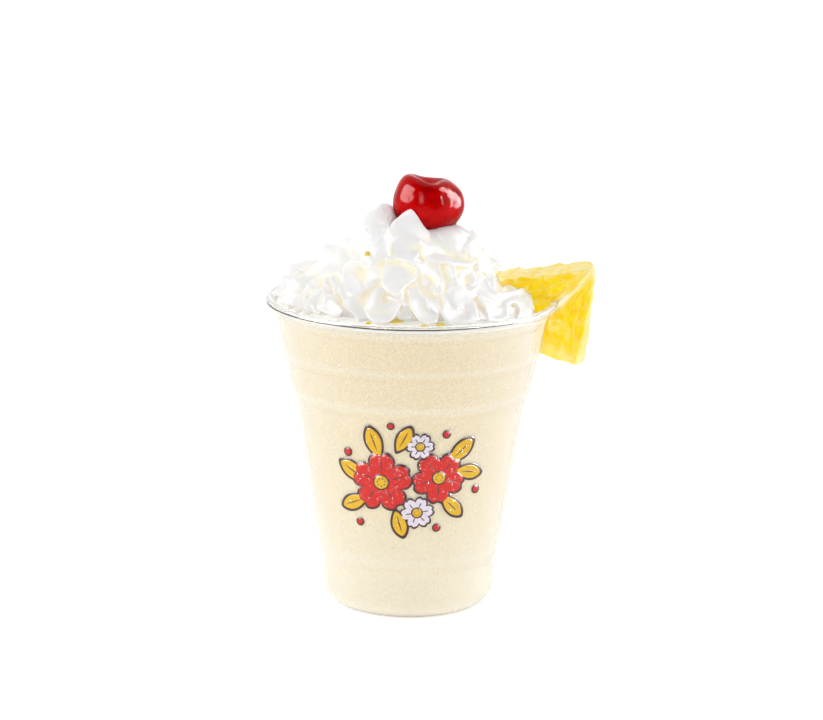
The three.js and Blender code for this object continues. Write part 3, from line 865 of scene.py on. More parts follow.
PETALS = [
    # the low row, left to right
    dict(crest=[(318.6, 288.0, 3.2), (325, 293.5, 4.2), (332, 299.5, 4.6), (338.5, 305.5, 4.6), (342.0, 311.5, 3.4)], root=[(311, 294, 2.4), (314, 302, 2.8), (320, 309, 3.0), (328, 314, 2.6), (336, 316.5, 2.4)], sag=0.4, wave=0.35, seed=1),
    dict(crest=[(353, 296.5, 2.2), (358, 292.5, 3.0), (366, 287.0, 3.4), (373.6, 282.4, 3.2), (377.5, 282.0, 2.4)], root=[(356, 287, 0.6), (361, 281, 0.8), (367, 276, 1.0), (373, 273, 1.0), (380, 274, 1.2)], sag=0.5),
    dict(crest=[(378.3, 286.6, 2.6), (370.5, 295.5, 4.2), (366.9, 303.5, 4.8), (366.9, 311, 3.4), (370.3, 317.8, 2.8), (378, 321.2, 2.8), (386.5, 320.8, 2.8), (393.6, 315.6, 3.4), (398.4, 306, 3.8), (400.3, 297.3, 3.4), (403.7, 291.5, 2.6)], root=[(384, 289, 1.2), (382.5, 293, 1.3), (381.5, 297, 1.4), (381, 300, 1.5), (382, 303, 1.5), (384, 304, 1.5), (387, 303.5, 1.5), (389.5, 301, 1.5), (392, 298, 1.5), (395, 294, 1.4), (399, 290, 1.4)], sag=0.5),
    dict(crest=[(409, 289.5, 2.4), (410.2, 297.3, 3.8), (411.6, 305, 4.6), (415.8, 313.7, 3.4), (422.7, 320.2, 2.8), (430, 322.0, 2.8), (437, 320.0, 2.8)], root=[(418, 287, 1.6), (420, 293, 1.6), (424, 298, 1.7), (429, 303, 1.8), (433, 308, 1.9), (437, 312, 2.0), (440, 314, 2.0)], sag=0.5),
    dict(crest=[(443.6, 293.5, 2.8), (444.6, 300, 3.4), (443.0, 307, 3.8), (444.6, 315, 3.4), (450, 321.8, 2.8), (460, 323.6, 2.8), (470, 322.8, 2.8), (477, 319, 2.8)], root=[(452, 291, 3.0), (454, 297, 2.8), (455, 302, 2.6), (457, 306, 2.4), (460, 309, 2.2), (465, 309, 2.0), (469, 306, 2.4), (472, 302, 2.8)], sag=0.2, thick=6),
    dict(crest=[(473.2, 292.5, 3.2), (473.8, 301, 4.0), (476, 309, 4.4), (478.8, 316.5, 3.4), (480.4, 320.5, 2.8)], root=[(467, 294, 2.6), (467, 302, 2.6), (468, 310, 2.8), (470, 317, 2.8), (472, 321, 2.8)], sag=0.2),
    dict(crest=[(476.6, 293.0, 3.4), (481, 298.2, 4.4), (486, 304.7, 5.0), (488.6, 312, 3.4), (489.4, 318.4, 2.8), (492, 320.5, 2.8)], root=[(484, 284, 1.6), (491, 291, 1.4), (498, 298, 1.2), (502, 305, 1.2), (503, 311, 1.6), (503, 316, 2.2)], sag=0.6),
    dict(crest=[(489, 320.0, 2.8), (496, 320.6, 2.8), (503, 319.6, 2.8), (508.4, 317.4, 2.8)], root=[(494, 308, 1.6), (498, 308, 1.6), (502, 307, 1.8), (506, 306, 2.4)], sag=0.2),
    dict(crest=[(508.6, 318.5, 2.8), (507.8, 309, 4.0), (510.3, 303, 4.6), (515, 301.0, 4.8), (519.6, 306, 4.8), (520.0, 314, 3.4), (518.2, 320, 2.8)], root=[(503, 316, 2.0), (503, 307, 2.0), (506, 299.5, 2.4), (514, 296, 3.0), (524, 301, 3.2), (525, 311, 3.2), (524, 318, 2.8)], sag=0.0, thick=3.0),
    dict(crest=[(527.9, 286.0, 3.4), (531.4, 293.5, 3.4), (532.2, 299, 3.4), (530.8, 306.5, 3.6), (532.2, 313.5, 3.2), (528, 317.5, 2.8)], root=[(518, 291, 3.0), (518, 296, 3.2), (519, 301, 3.6), (520, 307, 3.8), (520, 313, 3.4), (518, 319, 2.8)], sag=0.3, thick=5),
    # shallow faces between the low petals
    dict(crest=[(506.5, 303.5, 0.2), (514, 300.5, 0.2), (521.5, 304.0, 0.2)], root=[(506.5, 318.5, 0.4), (514, 319.5, 0.4), (521.5, 318.5, 0.4)], sag=0.9, thick=3.0),
    dict(crest=[(474.5, 296.5, 0.4), (478.5, 300.5, 0.4), (484.5, 307.0, 0.4)], root=[(479.5, 319.0, 1.2), (484.5, 319.8, 1.2), (489, 319.5, 1.2)], sag=0.3, thick=3.0),
    dict(crest=[(399, 299.5, 0.6), (405, 297.5, 0.6), (410.5, 301.0, 0.6)], root=[(397, 317.0, 0.8), (404, 318.5, 0.8), (412, 318.0, 0.8)], sag=0.4, thick=3.0),
    dict(crest=[(437.5, 296.5, 0.2), (441, 294.5, 0.2), (444.5, 298.0, 0.2)], root=[(437.5, 311.0, 0.6), (441, 313.0, 0.6), (444.5, 311.0, 0.6)], sag=0.5, thick=3.0),
    # the middle row
    dict(crest=[(347.8, 270.2, 2.8), (353.8, 275, 3.8), (359.8, 282.7, 4.2), (360.9, 289.6, 3.8), (357.5, 293.0, 3.0)], root=[(346, 272, 1.6), (344.5, 278, 1.2), (343.5, 285, 1.2), (347.5, 292.5, 1.4), (352, 295.6, 1.6)], sag=0.2),
    dict(crest=[(388.2, 259.0, 2.0), (382.6, 272, 3.8), (381.2, 280, 4.6), (384.6, 287.6, 5.0), (391.7, 292.2, 5.0), (398.6, 292.2, 4.8), (405.5, 286.3, 4.4), (409.8, 282.5, 4.0), (415.8, 277.5, 3.4), (418.6, 271.5, 2.8), (417.8, 266.5, 2.2)], root=[(388.8, 260, 1.8), (391.8, 271, 2.6), (393.6, 275.5, 2.8), (396, 279.2, 3.0), (400, 281.6, 3.0), (404, 282, 3.0), (408, 280.6, 2.8), (411, 278.4, 2.6), (413.8, 274.8, 2.4), (415.8, 270.5, 2.2), (416.8, 267.3, 1.8)], sag=-0.2, thick=3.2),
    dict(crest=[(386, 258.6, 2.2), (392, 257.4, 2.8), (399, 257.6, 3.2), (409, 261.6, 3.2), (418, 266.8, 2.4)], root=[(384, 251, 0.4), (392, 248, 0.6), (400, 249, 0.8), (411, 254, 0.8), (421, 260, 0.6)], sag=0.3),
    dict(crest=[(422.5, 262.0, 2.2), (424.0, 269, 2.8), (424.5, 277, 3.0), (423.0, 285, 2.6)], root=[(431, 262, 1.2), (432, 269, 1.0), (432, 277, 1.0), (431, 285, 1.0)], sag=0.5),
    dict(crest=[(437.2, 261.0, 2.4), (439.8, 271, 3.4), (441.0, 281, 3.8), (442.6, 292, 3.4)], root=[(429, 265, 1.2), (430, 274, 1.2), (432, 284, 1.4), (435, 294, 1.6)], sag=0.5),
    dict(crest=[(453.8, 264.0, 2.8), (453.6, 272, 3.8), (455.8, 279.5, 3.8), (459.5, 286, 3.2)], root=[(447, 265, 0.4), (446, 274, 0.0), (447, 281, 0.0), (448, 288, 0.6)], sag=0.4),
    dict(crest=[(458.5, 286, 2.8), (460.2, 278, 3.8), (463, 271.8, 4.2), (468.5, 269.6, 4.2), (473.4, 274.0, 3.8), (473.6, 281, 3.4), (471, 287, 2.8)], root=[(465, 285, 1.2), (464.5, 280, 1.0), (466, 276.4, 0.8), (468.2, 275.4, 0.8), (470, 277, 0.8), (470, 281, 1.0), (468, 285, 1.2)], sag=0.1, thick=3),
    dict(crest=[(446.6, 292, 2.8), (448.8, 287.8, 4.0), (452, 285.0, 4.6), (459.8, 285.0, 4.8), (466, 288.3, 4.6), (470.5, 290.0, 4.4), (476.8, 286.4, 3.8), (478.0, 290.5, 3.0)], root=[(449, 301, 3.0), (452, 304, 3.0), (456, 306, 2.8), (460, 307, 2.4), (465, 307, 1.8), (468, 306, 2.2), (472, 302, 2.8), (474, 299, 3.0)], sag=-0.5, thick=6),
    dict(crest=[(476.5, 286.5, 2.8), (477.6, 279.5, 3.4), (480.4, 275, 3.2), (484.4, 275.2, 2.8)], root=[(474, 292, 1.0), (480, 290, 1.0), (485, 288, 1.0), (487, 285, 1.0)], sag=0.4),
    dict(crest=[(483.5, 275.6, 2.4), (488.9, 283.6, 4.0), (496.5, 291.0, 4.8), (501.9, 293.6, 4.8), (511.8, 291.8, 4.6), (521.8, 289.2, 4.2), (528.0, 286.0, 3.6)], root=[(485, 287, 1.6), (489, 293, 1.4), (496, 299, 1.2), (503, 301, 1.6), (510, 300, 2.4), (518, 299, 2.8), (527, 297, 3.0)], sag=0.4),
    dict(crest=[(493.2, 271.5, 2.2), (494.4, 279, 3.0), (494.8, 287.5, 3.0)], root=[(485.5, 272, 1.0), (487, 280, 0.8), (489, 287, 1.0)], sag=0.4),
    # the upper row
    dict(crest=[(357.7, 241.2, 2.6), (362.4, 250, 4.0), (365.8, 256, 4.2), (370, 260.2, 3.8), (375.4, 263.2, 2.8)], root=[(356, 243, 1.6), (352.6, 249, 1.4), (352.2, 256, 1.4), (356.4, 263, 1.6), (366, 268, 1.8)], sag=0.2),
    dict(crest=[(424.2, 249.0, 2.6), (428.6, 256.0, 4.0), (435.3, 259.2, 4.8), (443, 260.6, 5.2), (454.4, 263.2, 5.2), (466, 264.4, 4.8), (474.0, 262.6, 4.0), (477.6, 257.0, 3.2)], root=[(428, 247, 0.4), (434, 250.5, 0.2), (440, 253, 0.0), (447, 255, 0.0), (456, 257, -0.4), (465, 258, -0.8), (471, 256, -0.2), (474.5, 252.5, 0.6)], sag=0.2, thick=3.6),
    dict(crest=[(478, 250.6, 0, -8.0), (486, 254.2, 0, -8.6), (493.5, 257.4, 0, -9.0), (500.8, 260.8, 0, -9.2)], root=[(478, 270, 0, -17.0), (484, 272.5, 0, -14.5), (489, 270, 0, -12.5), (495.2, 265.0, 0, -10.5)], sag=0.6, thick=3.0),
    dict(crest=[(472.8, 227.8, 0, -3.0), (477.2, 234, 0, -5.5), (480.2, 241, 0, -8.0), (481.6, 249, 0, -10.5), (479.8, 258, 0, -13.5)], root=[(463, 238, 0, -9.5), (465, 243, 0, -12.0), (466, 248, 0, -14.0), (468, 252, 0, -15.5), (471, 257, 0, -17.0)], sag=-0.6, thick=6.0),
    dict(crest=[(412.2, 209.4, 0, -13.8), (407.0, 212.6, 0, -13.8), (400.4, 218.4, 0, -13.8), (394.4, 223.6, 0, -14.2), (391.4, 231.6, 0, -15.2), (390.6, 240, 0, -16.8), (394.6, 249, 0, -18.6), (402, 255.4, 0, -20.0), (411, 257.6, 0, -21.0)], root=[(414.6, 211, 0, -13.4), (418.2, 216.4, 0, -12.8), (421.8, 222, 0, -12.2), (426.0, 227.5, 0, -11.4), (431.0, 232.5, 0, -10.8), (437.5, 237, 0, -11.0), (444, 243, 0, -12.4), (444, 249, 0, -14.4), (437, 253, 0, -17.0)], sag=-1.2, thin=2.4, thick=8.0, n=70),
    dict(crest=[(410.5, 256.5, 2.4), (414.5, 257.5, 3.0), (418.0, 252.4, 3.2)], root=[(408, 248, 1.0), (414, 247, 1.0), (421, 247, 1.2)], sag=0.3),
    dict(crest=[(329, 268.8, 2.4), (335, 264.2, 3.4), (342.2, 260.0, 3.2)], root=[(327, 262, 0.8), (333, 258, 0.8), (340, 254, 0.8)], sag=0.4),
]

# the small ruffles on the left: short thin crests, from (x, y) to (x, y) in the frame
RUFFLES = [
    (281.5, 287, 279.5, 300, 2.6), (287.5, 284, 286.0, 302, 3.2), (294.5, 283, 292.0, 306, 3.2), (301.5, 286, 297.0, 303, 2.8), (308.5, 289, 305.5, 308, 3.4), (315.5, 296, 313.0, 313, 3.0),
    (283.5, 276, 287.5, 285, 2.6), (291.0, 271.5, 296.0, 283, 3.0), (299.0, 271.5, 305.0, 285, 3.4), (306.0, 268, 312.0, 283, 3.4), (315.0, 266, 320.5, 282, 3.2), (322.5, 272, 327.5, 290, 3.6),
    (331.0, 275, 336.0, 294, 3.4), (340.0, 284, 346.0, 303, 3.0), (325.5, 256, 331.0, 268, 3.0), (336.5, 248, 342.0, 259, 3.0), (337.5, 268, 343.0, 281, 3.2), (346.5, 239, 351.0, 252, 3.0), (345.5, 296, 350.5, 312, 2.8),
]


def ruffle(x0, y0, x1, y1, lift, k):
    r = np.random.default_rng(40 + k)
    bow = r.uniform(-2.2, 2.2)
    xm, ym = (x0 + x1) / 2 + bow, (y0 + y1) / 2
    crest = [(x0, y0, lift * 0.55), ((x0 + xm) / 2, (y0 + ym) / 2, lift), (xm, ym, lift * 1.05), ((x1 + xm) / 2, (y1 + ym) / 2, lift), (x1, y1, lift * 0.5)]
    w = r.uniform(5.0, 7.5)
    root = [(x + w, y + r.uniform(-1, 1.5), 0.4) for x, y, _ in crest]
    return sheet(crest, root, thin=1.1, thick=3.5, sag=0.4, n=30, m=16)


def lobe(path, seg=72, per=14):
    """A body drawn up through points of the frame: (px, py, depth y, radius)."""
    P = np.array([seat((a, b, 0, y)) for a, b, y, _ in path])
    c = spline(P, per)
    R = np.interp(np.linspace(0, len(path) - 1, len(c)), np.arange(len(path)), [q[3] for q in path])
    t = np.gradient(c, axis=0)
    t /= np.linalg.norm(t, axis=1)[:, None]
    side = np.cross(t, np.array([0.0, 1.0, 0.0]))
    side /= np.linalg.norm(side, axis=1)[:, None]
    fore = np.cross(side, t)
    rows = []
    for k in range(9):
        q = (k + 1) / 10 * math.pi / 2
        rows.append((c[0] - t[0] * R[0] * math.cos(q), R[0] * math.sin(q), side[0], fore[0]))
    rows += [(c[i], R[i], side[i], fore[i]) for i in range(len(c))]
    for k in range(9):
        q = (9 - k) / 10 * math.pi / 2
        rows.append((c[-1] + t[-1] * R[-1] * math.cos(q), R[-1] * math.sin(q), side[-1], fore[-1]))
    a = np.linspace(0, TAU, seg, endpoint=False)
    V = []
    for i, (o, r, x, y) in enumerate(rows):
        rr = r * (1 + 0.035 * np.sin(3 * a + 0.12 * i) + 0.025 * np.sin(7 * a - 0.2 * i))
        V.append(o + (rr * np.cos(a))[:, None] * x + (rr * np.sin(a))[:, None] * y)
    V = np.concatenate(V + [[c[0] - t[0] * R[0]], [c[-1] + t[-1] * R[-1]]])
    n = len(rows)
    f = [list(x) for x in grid_faces(n, seg, False, True)]
    for j in range(seg):
        k = (j + 1) % seg
        f.append([n * seg, k, j])
        f.append([n * seg + 1, (n - 1) * seg + j, (n - 1) * seg + k])
    return fix_normals(build("lobe", V, f))


def make_cream():
    z0 = BEAD_Z
    parts = []
    hill = [(0, z0 - 2), (40.8, z0 - 2), (41.2, z0 + 0.9), (40.9, z0 + 2.8)] + [(r, z0 + h + 0.1) for r, h in HILL[::-1] if h > 3 and r > 0] + [(0, z0 + HILL[0, 1] + 0.1)]
    core = lathe("core", hill, 128)
    # lower where the fruit's wedge stands
    v = coords(core)
    r, a = np.hypot(v[:, 0], v[:, 1]), np.degrees(np.arctan2(v[:, 1], v[:, 0]))
    v[:, 2] -= 5.2 * np.exp(-(((a + 4) / 31) ** 4)) * np.clip((r - 25) / 4, 0, 1) * np.clip((v[:, 2] - z0 - 2.5) / 2, 0, 1)
    set_coords(core, v)
    parts.append(core)
    parts.append(piped_ring("low", 34.2, z0 + 3.6, 11.6, 8.0, LOW_MARKS, 2, 0.72, 3.0, 3, centre=(-1.2, 0.3), knob=0.10, sink=0.24, tilt=(0.4, 0.6), trim=((-19, 22, 0.74), (14, 20, 0.52), (38, 16, 0.22), (178, 26, 0.14))))
    parts.append(piped_ring("mid", 22.6, z0 + 10.4, 11.0, 8.8, MID_MARKS, 2, 0.70, 3.0, 23, steps=800, centre=(-1.0, -1.0), knob=0.10, sink=0.22, trim=((-10, 31, 0.72), (36, 18, 0.30))))
    parts.append(piped_ring("high", 11.8, z0 + 16.6, 10.4, 8.6, HIGH_MARKS, 1, 0.55, 2.2, 11, steps=500, centre=(1.0, -1.0), sink=0.22))
    # low knobs of cream against both sides of the wedge
    for k, (at, R, up, rx, rz) in enumerate(((-38, 35.5, 1.6, 5.6, 3.4), (-27, 36.6, 1.0, 5.4, 3.2), (-16, 37.0, 0.4, 4.8, 2.9), (15, 37.0, 1.2, 5.2, 3.8), (26, 36.4, 1.8, 5.6, 4.6))):
        q = math.radians(at)
        parts.append(blob("knob", (R * math.cos(q), R * math.sin(q), z0 + up), (rx, rx, rz), fins=6, depth=0.16, twist=0.8, phase=k, steps=96, rows=60))
    # the mound under the fruit, and the lobe drawn up behind it
    parts.append(blob("mound", (8.5, -3.4, z0 + 17.5), (15.5, 12.2, 10.0), fins=6, depth=0.10, twist=0.9, lean=0.1))
    parts.append(lobe([(376.4, 254.0, -16.5, 4.6), (376.4, 243.5, -14.0, 5.8), (376.8, 232.5, -10.6, 5.9), (379.0, 223.0, -6.2, 5.3), (383.2, 214.8, -2.6, 3.7)]))
    parts.append(blob("back_mound", (-9.0, 3.0, z0 + 19.0), (9.4, 9.0, 9.6), fins=5, depth=0.07, twist=0.7, phase=0.5))
    o = join(parts, "cream_swirl")
    set_coords(o, drift(coords(o), 5, 1.1, 16.0))
    petals = [sheet(**p) for p in PETALS] + [ruffle(*p, k) for k, p in enumerate(RUFFLES)]
    p = join(petals, "petals")
    set_coords(p, drift(coords(p), 8, 0.22, 6.0))
    o = join([o, p], "cream_swirl")
    remesh(o, 0.36, 2)
    # the lobe at the back is rough, the rest only a little
    V, N = coords(o), normals(o)
    c = seat((378, 236, 0, -11.0))
    rough = np.exp(-((np.linalg.norm((V - c) / np.array([9.0, 11.0, 13.0]), axis=1)) ** 4))
    pick = np.nonzero(rough > 0.02)[0]
    bump = np.zeros(len(V))
    bump[pick] = 0.26 * fbm(V[pick], 1.5, 3, 5.0) + 0.16 * fbm(V[pick], 0.6, 2, 9.0)
    set_coords(o, V + N * (bump * rough)[:, None])
    return o


cream = make_cream()
# flat underside just above the drink, and clear of the wall
v = coords(cream)
rad = np.hypot(v[:, 0], v[:, 1])
turn = np.degrees(np.arctan2(v[:, 1], v[:, 0]))
low = LEVEL_WALL + 0.1 + np.clip((45.0 - rad) / 9.0, 0, 1) * 1.6 * (1 - 0.85 * np.exp(-(((turn + 4) / 27) ** 4))) - sunk(v)
v[:, 2] = np.maximum(v[:, 2], low)
inside_wall = v[:, 2] < BEAD_Z + 1.6
k = np.where(inside_wall, np.minimum(1, 44.9 / np.maximum(rad, 1e-6)), 1)
v[:, 0] *= k
v[:, 1] *= k
set_coords(cream, v)

sm = Mat("cream")
co = sm.coord()
sb = sm.n("BsdfPrincipled")
big = sm.noise(co, 90.0, 3, 0.6)
tiny = sm.noise(co, 1500.0, 3, 0.6)
white = sm.ramp(big, [(0.3, (0.975, 0.968, 0.955)), (0.7, (0.985, 0.982, 0.972))]).outputs[0]
# painted shade and bounced light: the hollows are painted warm beige, standing in for the drink's light in the folds
warm = sm.ramp(sm.attr("pit"), [(0.0, (1, 1, 1)), (0.45, (1.0, 0.980, 0.940)), (1.0, (1.0, 0.925, 0.77))]).outputs[0]
deep = sm.mix(1.0, white, warm, "MULTIPLY")
# painted shade: the cream is painted darker towards its foot, against the floor's light
ssep = sm.n("SeparateXYZ")
sm.link(co, ssep.inputs[0])
hgt = sm.ramp(sm.math("MULTIPLY", sm.math("SUBTRACT", ssep.outputs[2], BEAD_Z * 0.001), 30.0), [(0.06, (0.845, 0.842, 0.845)), (0.50, (1, 1, 1))]).outputs[0]
# painted highlight: the crests are painted whiter
deep = sm.mix(sm.math("MULTIPLY", sm.attr("crest"), 0.65), deep, (0.995, 0.993, 0.985))
sm.link(sm.mix(1.0, deep, hgt, "MULTIPLY"), sb.inputs["Base Color"])
sm.link(sm.bump(tiny, 0.10, 0.0002, sm.bump(sm.noise(co, 320.0, 2, 0.5), 0.10, 0.0005)), sb.inputs["Normal"])
sb.inputs["Roughness"].default_value = 0.5
sb.inputs["Subsurface Weight"].default_value = 1.0
sb.inputs["Subsurface Radius"].default_value = (1.0, 0.94, 0.86)
sb.inputs["Subsurface Scale"].default_value = 0.0030
sb.inputs["Specular IOR Level"].default_value = 0.30
# painted light: the cream glows faintly everywhere and more, warm, in its hollows
sm.link(sm.mix(sm.attr("pit"), (0.08, 0.08, 0.08), (1.0, 0.94, 0.80)), sb.inputs["Emission Color"])
sb.inputs["Emission Strength"].default_value = 0.16
sm.link(sb.outputs[0], sm.out.inputs["Surface"])
finish_piece(cream, sm, "cream", "whipped_cream")

# END CREAM

# ------------------------------------------------------------------ cherry
def make_cherry(name, grow=0.0, across=220, down=150, detail=True):
    """A stemless preserved cherry: two shoulders, a stem hollow, a seam down its front."""
    t = np.linspace(0, math.pi, down + 1)[1:-1]
    p = np.arange(across) / across * TAU
    T, P = np.meshgrid(t, p, indexing="ij")

    def near(a, at, w):
        return np.exp(-((np.arctan2(np.sin(a - at), np.cos(a - at)) / w) ** 2))

    def shape(T, P):
        a, b, c = 12.0 + grow, 11.2 + grow, 11.0 + grow
        low = np.clip(-np.cos(T), 0, 1)
        s = np.sin(T) ** 0.94
        taper = 1 - 0.20 * low ** 1.6
        x = a * s * np.cos(P) * taper
        y = b * s * np.sin(P) * taper
        z = c * np.cos(T)
        # shoulders: the left one stands higher
        ring = np.exp(-(((T - 0.74) / 0.46) ** 2))
        z = z + ring * (0.25 - 1.15 * np.cos(P)) - 0.5 * np.clip(-np.cos(T), 0, 1)
        # stem hollow, opened towards the front and a little to the back
        z = z - 4.1 * np.exp(-((T / 0.35) ** 2)) - 0.3 * np.exp(-((T / 0.55) ** 4))
        front = near(P, math.radians(-82), 0.55)
        z = z - 1.5 * front * np.exp(-(((T - 0.40) / 0.30) ** 2)) - 1.0 * near(P, math.radians(95), 0.7) * np.exp(-(((T - 0.5) / 0.35) ** 2))
        # seam and flats
        seam = near(P, math.radians(-86) + 0.10 * np.sin(2.2 * T), 0.13) * np.sin(np.clip(T, 0, 2.4) / 2.4 * math.pi) ** 0.8
        q = 1 - 0.030 * seam - 0.018 * near(P, math.radians(-120), 0.35) * np.sin(T) ** 2 - 0.02 * near(P, math.radians(-40), 0.3) * np.sin(T)
        q = q + 0.012 * np.sin(3 * P + 1.3) * np.sin(T) ** 2 + 0.008 * np.sin(5 * P + 2 * T) * np.sin(T)
        return np.stack([x * q, y * q, z], axis=-1)

    V = shape(T, P).reshape(-1, 3)
    top = shape(np.array([1e-4]), np.array([0.0]))[0]
    bottom = shape(np.array([math.pi - 1e-4]), np.array([0.0]))[0]
    V = np.concatenate([[top], V, [bottom]])
    V = V + CHERRY_POS + CHERRY_SHIFT
    if detail:
        c = V - CHERRY_POS
        d = c / np.linalg.norm(c, axis=1)[:, None]
        V = V + d * (0.10 * fbm(c, 4.2, 2, 1.0) + 0.035 * fbm(c, 1.3, 2, 2.0))[:, None]
    last = len(V) - 1
    f = [[0, 1 + j, 1 + (j + 1) % across] for j in range(across)]
    base = 1 + (down - 2) * across
    f += [[last, base + (j + 1) % across, base + j] for j in range(across)]
    f += (grid_faces(down - 1, across, False, True) + 1).tolist()
    return fix_normals(build(name, V, f))


cherry = make_cherry("cherry_fruit")
V = coords(cherry)
# painted shade: the cherry's lower part is marked here and painted darker below
attribute(cherry, "low", np.clip((CHERRY_POS[2] - 2.0 - V[:, 2]) / 7.0, 0, 1) * 0.85)
hm = Mat("cherry_skin")
co = hm.coord()
hn = hm.noise(co, 160.0, 3, 0.6)
hf = hm.noise(co, 900.0, 2, 0.5)
hcol = hm.ramp(hn, [(0.30, (0.34, 0.0, 0.001)), (0.50, (0.55, 0.0, 0.0005)), (0.72, (0.68, 0.0005, 0.0005))]).outputs[0]
# painted shade: darker towards the bottom
hcol = hm.mix(hm.attr("low"), hcol, (0.19, 0.0, 0.001))
hb = hm.n("BsdfPrincipled")
hb.inputs["Roughness"].default_value = 0.12
hb.inputs["IOR"].default_value = 1.33
hb.inputs["Coat Weight"].default_value = 0.04
hb.inputs["Specular IOR Level"].default_value = 0.16
hb.inputs["Coat Roughness"].default_value = 0.035
hb.inputs["Subsurface Weight"].default_value = 0.12
hb.inputs["Subsurface Radius"].default_value = (1.0, 0.05, 0.03)
hb.inputs["Subsurface Scale"].default_value = 0.002
hm.link(hcol, hb.inputs["Base Color"])
hm.link(hm.bump(hf, 0.12, 0.0002), hb.inputs["Normal"])
hm.link(hb.outputs[0], hm.out.inputs["Surface"])
finish_piece(cherry, hm, "cherry_skin", "cherry")

# ------------------------------------------------------------------ pineapple wedge
APEX = np.array([61.4, 12.6])  # along the radius and above the rim's middle
WEDGE_R = 33.4


def wedge_outline():
    """Seen from the front: the top cut, the point, the outer cut and the round side, (x, z)."""
    top = [(28.9, 9.8), (31.5, 10.5), (34.6, 10.9), (36.6, 11.55), (38.7, 11.0), (41.2, 11.4), (43.6, 12.0), (46.6, 11.9), (49.6, 12.9), (52.6, 12.8), (56.0, 13.3), (59.4, 13.6), (61.5, 12.9), (62.2, 10.8)]
    outer = [(62.25, 6.5), (62.1, 2.0), (61.7, -2.5), (61.3, -7.5), (60.8, -12.4), (60.2, -16.2), (59.8, -18.2), (59.55, -19.0)]
    arc = [(59.0, -19.3), (57.0, -19.2), (54.2, -18.7), (50.0, -17.9), (46.7, -16.9), (43.2, -15.5), (40.7, -13.8)]
    for a in (226, 217, 208, 199, 191):
        arc.append((APEX[0] + WEDGE_R * math.cos(math.radians(a)), APEX[1] + WEDGE_R * math.sin(math.radians(a))))
    p = np.array(top + outer + arc + [top[0]])
    c = spline(p, 14)[:-1]
    c = np.concatenate([c, c[:1]])
    L = np.concatenate([[0], np.cumsum(np.linalg.norm(np.diff(c, axis=0), axis=1))])
    s = np.linspace(0, L[-1], 421)[:-1]
    return np.stack([np.interp(s, L, c[:, 0]), np.interp(s, L, c[:, 1])], axis=-1)


def make_wedge():
    o = wedge_outline()
    n = len(o)
    mid = np.array([49.0, -1.0])
    half = 6.5
    rows, V, kind = [], [], []
    # from the middle of the front, over its edge, across the thickness, to the middle of the back
    t_face = np.linspace(0, 1, 62)[1:]
    edge = 1.0
    for t in t_face:
        d = 1 - t
        q = min(1.0, (1 - (1 - min(1, d * 18 / edge)) ** 2) ** 0.5) if d * 18 < edge else 1.0
        rows.append((t, -half + edge * (1 - q) * 0.9))
    for w in np.linspace(-half + 1.1, half - 1.1, 22):
        rows.append((1.0, w))
    for t in t_face[::-1]:
        d = 1 - t
        q = min(1.0, (1 - (1 - min(1, d * 18 / edge)) ** 2) ** 0.5) if d * 18 < edge else 1.0
        rows.append((t, half - edge * (1 - q) * 0.9))
    for t, w in rows:
        p = mid + (o - mid) * t
        f = (w + half) / (2 * half)
        # the outer cut leans: the front face is narrower towards its foot
        drop = np.clip((APEX[1] - p[:, 1]) / 33, 0, 1)
        near_outer = np.clip((p[:, 0] - 50) / 9, 0, 1) ** 1.5
        x = p[:, 0] - (1.3 + 2.9 * drop) * (1 - f) * near_outer
        # and the top cut rises a little to the back
        rise = np.clip((p[:, 1] - 6) / 6, 0, 1)
        z = p[:, 1] + rise * (-0.5 + 0.6 * f)
        z = z - 1.35 - 2.3 * f ** 0.7 * np.clip((-p[:, 1] - 7) / 12, 0, 1)
        V.append(np.stack([x, np.full(n, w), z], axis=-1))
    V = np.array(V).reshape(-1, 3)
    m = len(rows)
    V = np.concatenate([[[mid[0], -half, mid[1]]], V, [[mid[0], half, mid[1]]]])
    last = len(V) - 1
    f = [[0, 1 + (j + 1) % n, 1 + j] for j in range(n)]
    base = 1 + (m - 1) * n
    f += [[last, base + j, base + (j + 1) % n] for j in range(n)]
    f += (grid_faces(m, n, False, True) + 1).tolist()
    w = fix_normals(build("wedge_flesh", V, f))
    # fibres fan out from the point; the flesh is uneven between them
    V = coords(w)
    N = normals(w)
    ang = np.arctan2(V[:, 2] - APEX[1], V[:, 0] - APEX[0]) % TAU
    rad = np.hypot(V[:, 2] - APEX[1], V[:, 0] - APEX[0])
    fan = np.stack([ang * 26, rad / 3.6, V[:, 1] / 2.6], axis=-1)
    cell = np.stack([ang * 9, rad / 4.0, V[:, 1] / 3.5], axis=-1)
    d = 0.09 * fbm(fan, 1.0, 3, 3.0) + 0.30 * fbm(cell, 1.0, 2, 4.0)
    side = 1 - np.abs(N[:, 1])
    d = d + side * 0.28 * fbm(V, 1.5, 2, 6.0)
    V = V + N * (d * np.clip(rad / 3, 0.2, 1))[:, None]
    set_coords(w, V)
    return w


def turn_z(V, a):
    c, s = math.cos(a), math.sin(a)
    return np.stack([V[:, 0] * c - V[:, 1] * s, V[:, 0] * s + V[:, 1] * c, V[:, 2]], axis=-1)


wedge = make_wedge()
V = coords(wedge)
V[:, 2] += BEAD_Z
set_coords(wedge, turn_z(V, WEDGE_AZ))


def wall_cutter(grow, seg=256):
    """The wall and bead, a little larger, as a closed ring."""
    out = outside(grow)
    out = out[out[:, 1] > 60]
    p = [tuple(x) for x in out]
    for i in range(25):
        a = math.radians(236 + (498 - 236) * i / 24)
        p.append((RIM_R - BEAD_R + (BEAD_R + grow) * math.cos(a), BEAD_Z + (BEAD_R + grow) * math.sin(a)))
    inn = outside(-WALL - grow)
    inn = inn[(inn[:, 1] > 60) & (inn[:, 1] < 102.3)]
    p += [tuple(x) for x in inn[::-1]]
    return fix_normals(lathe("wall_cutter", p, seg, closed_profile=True))


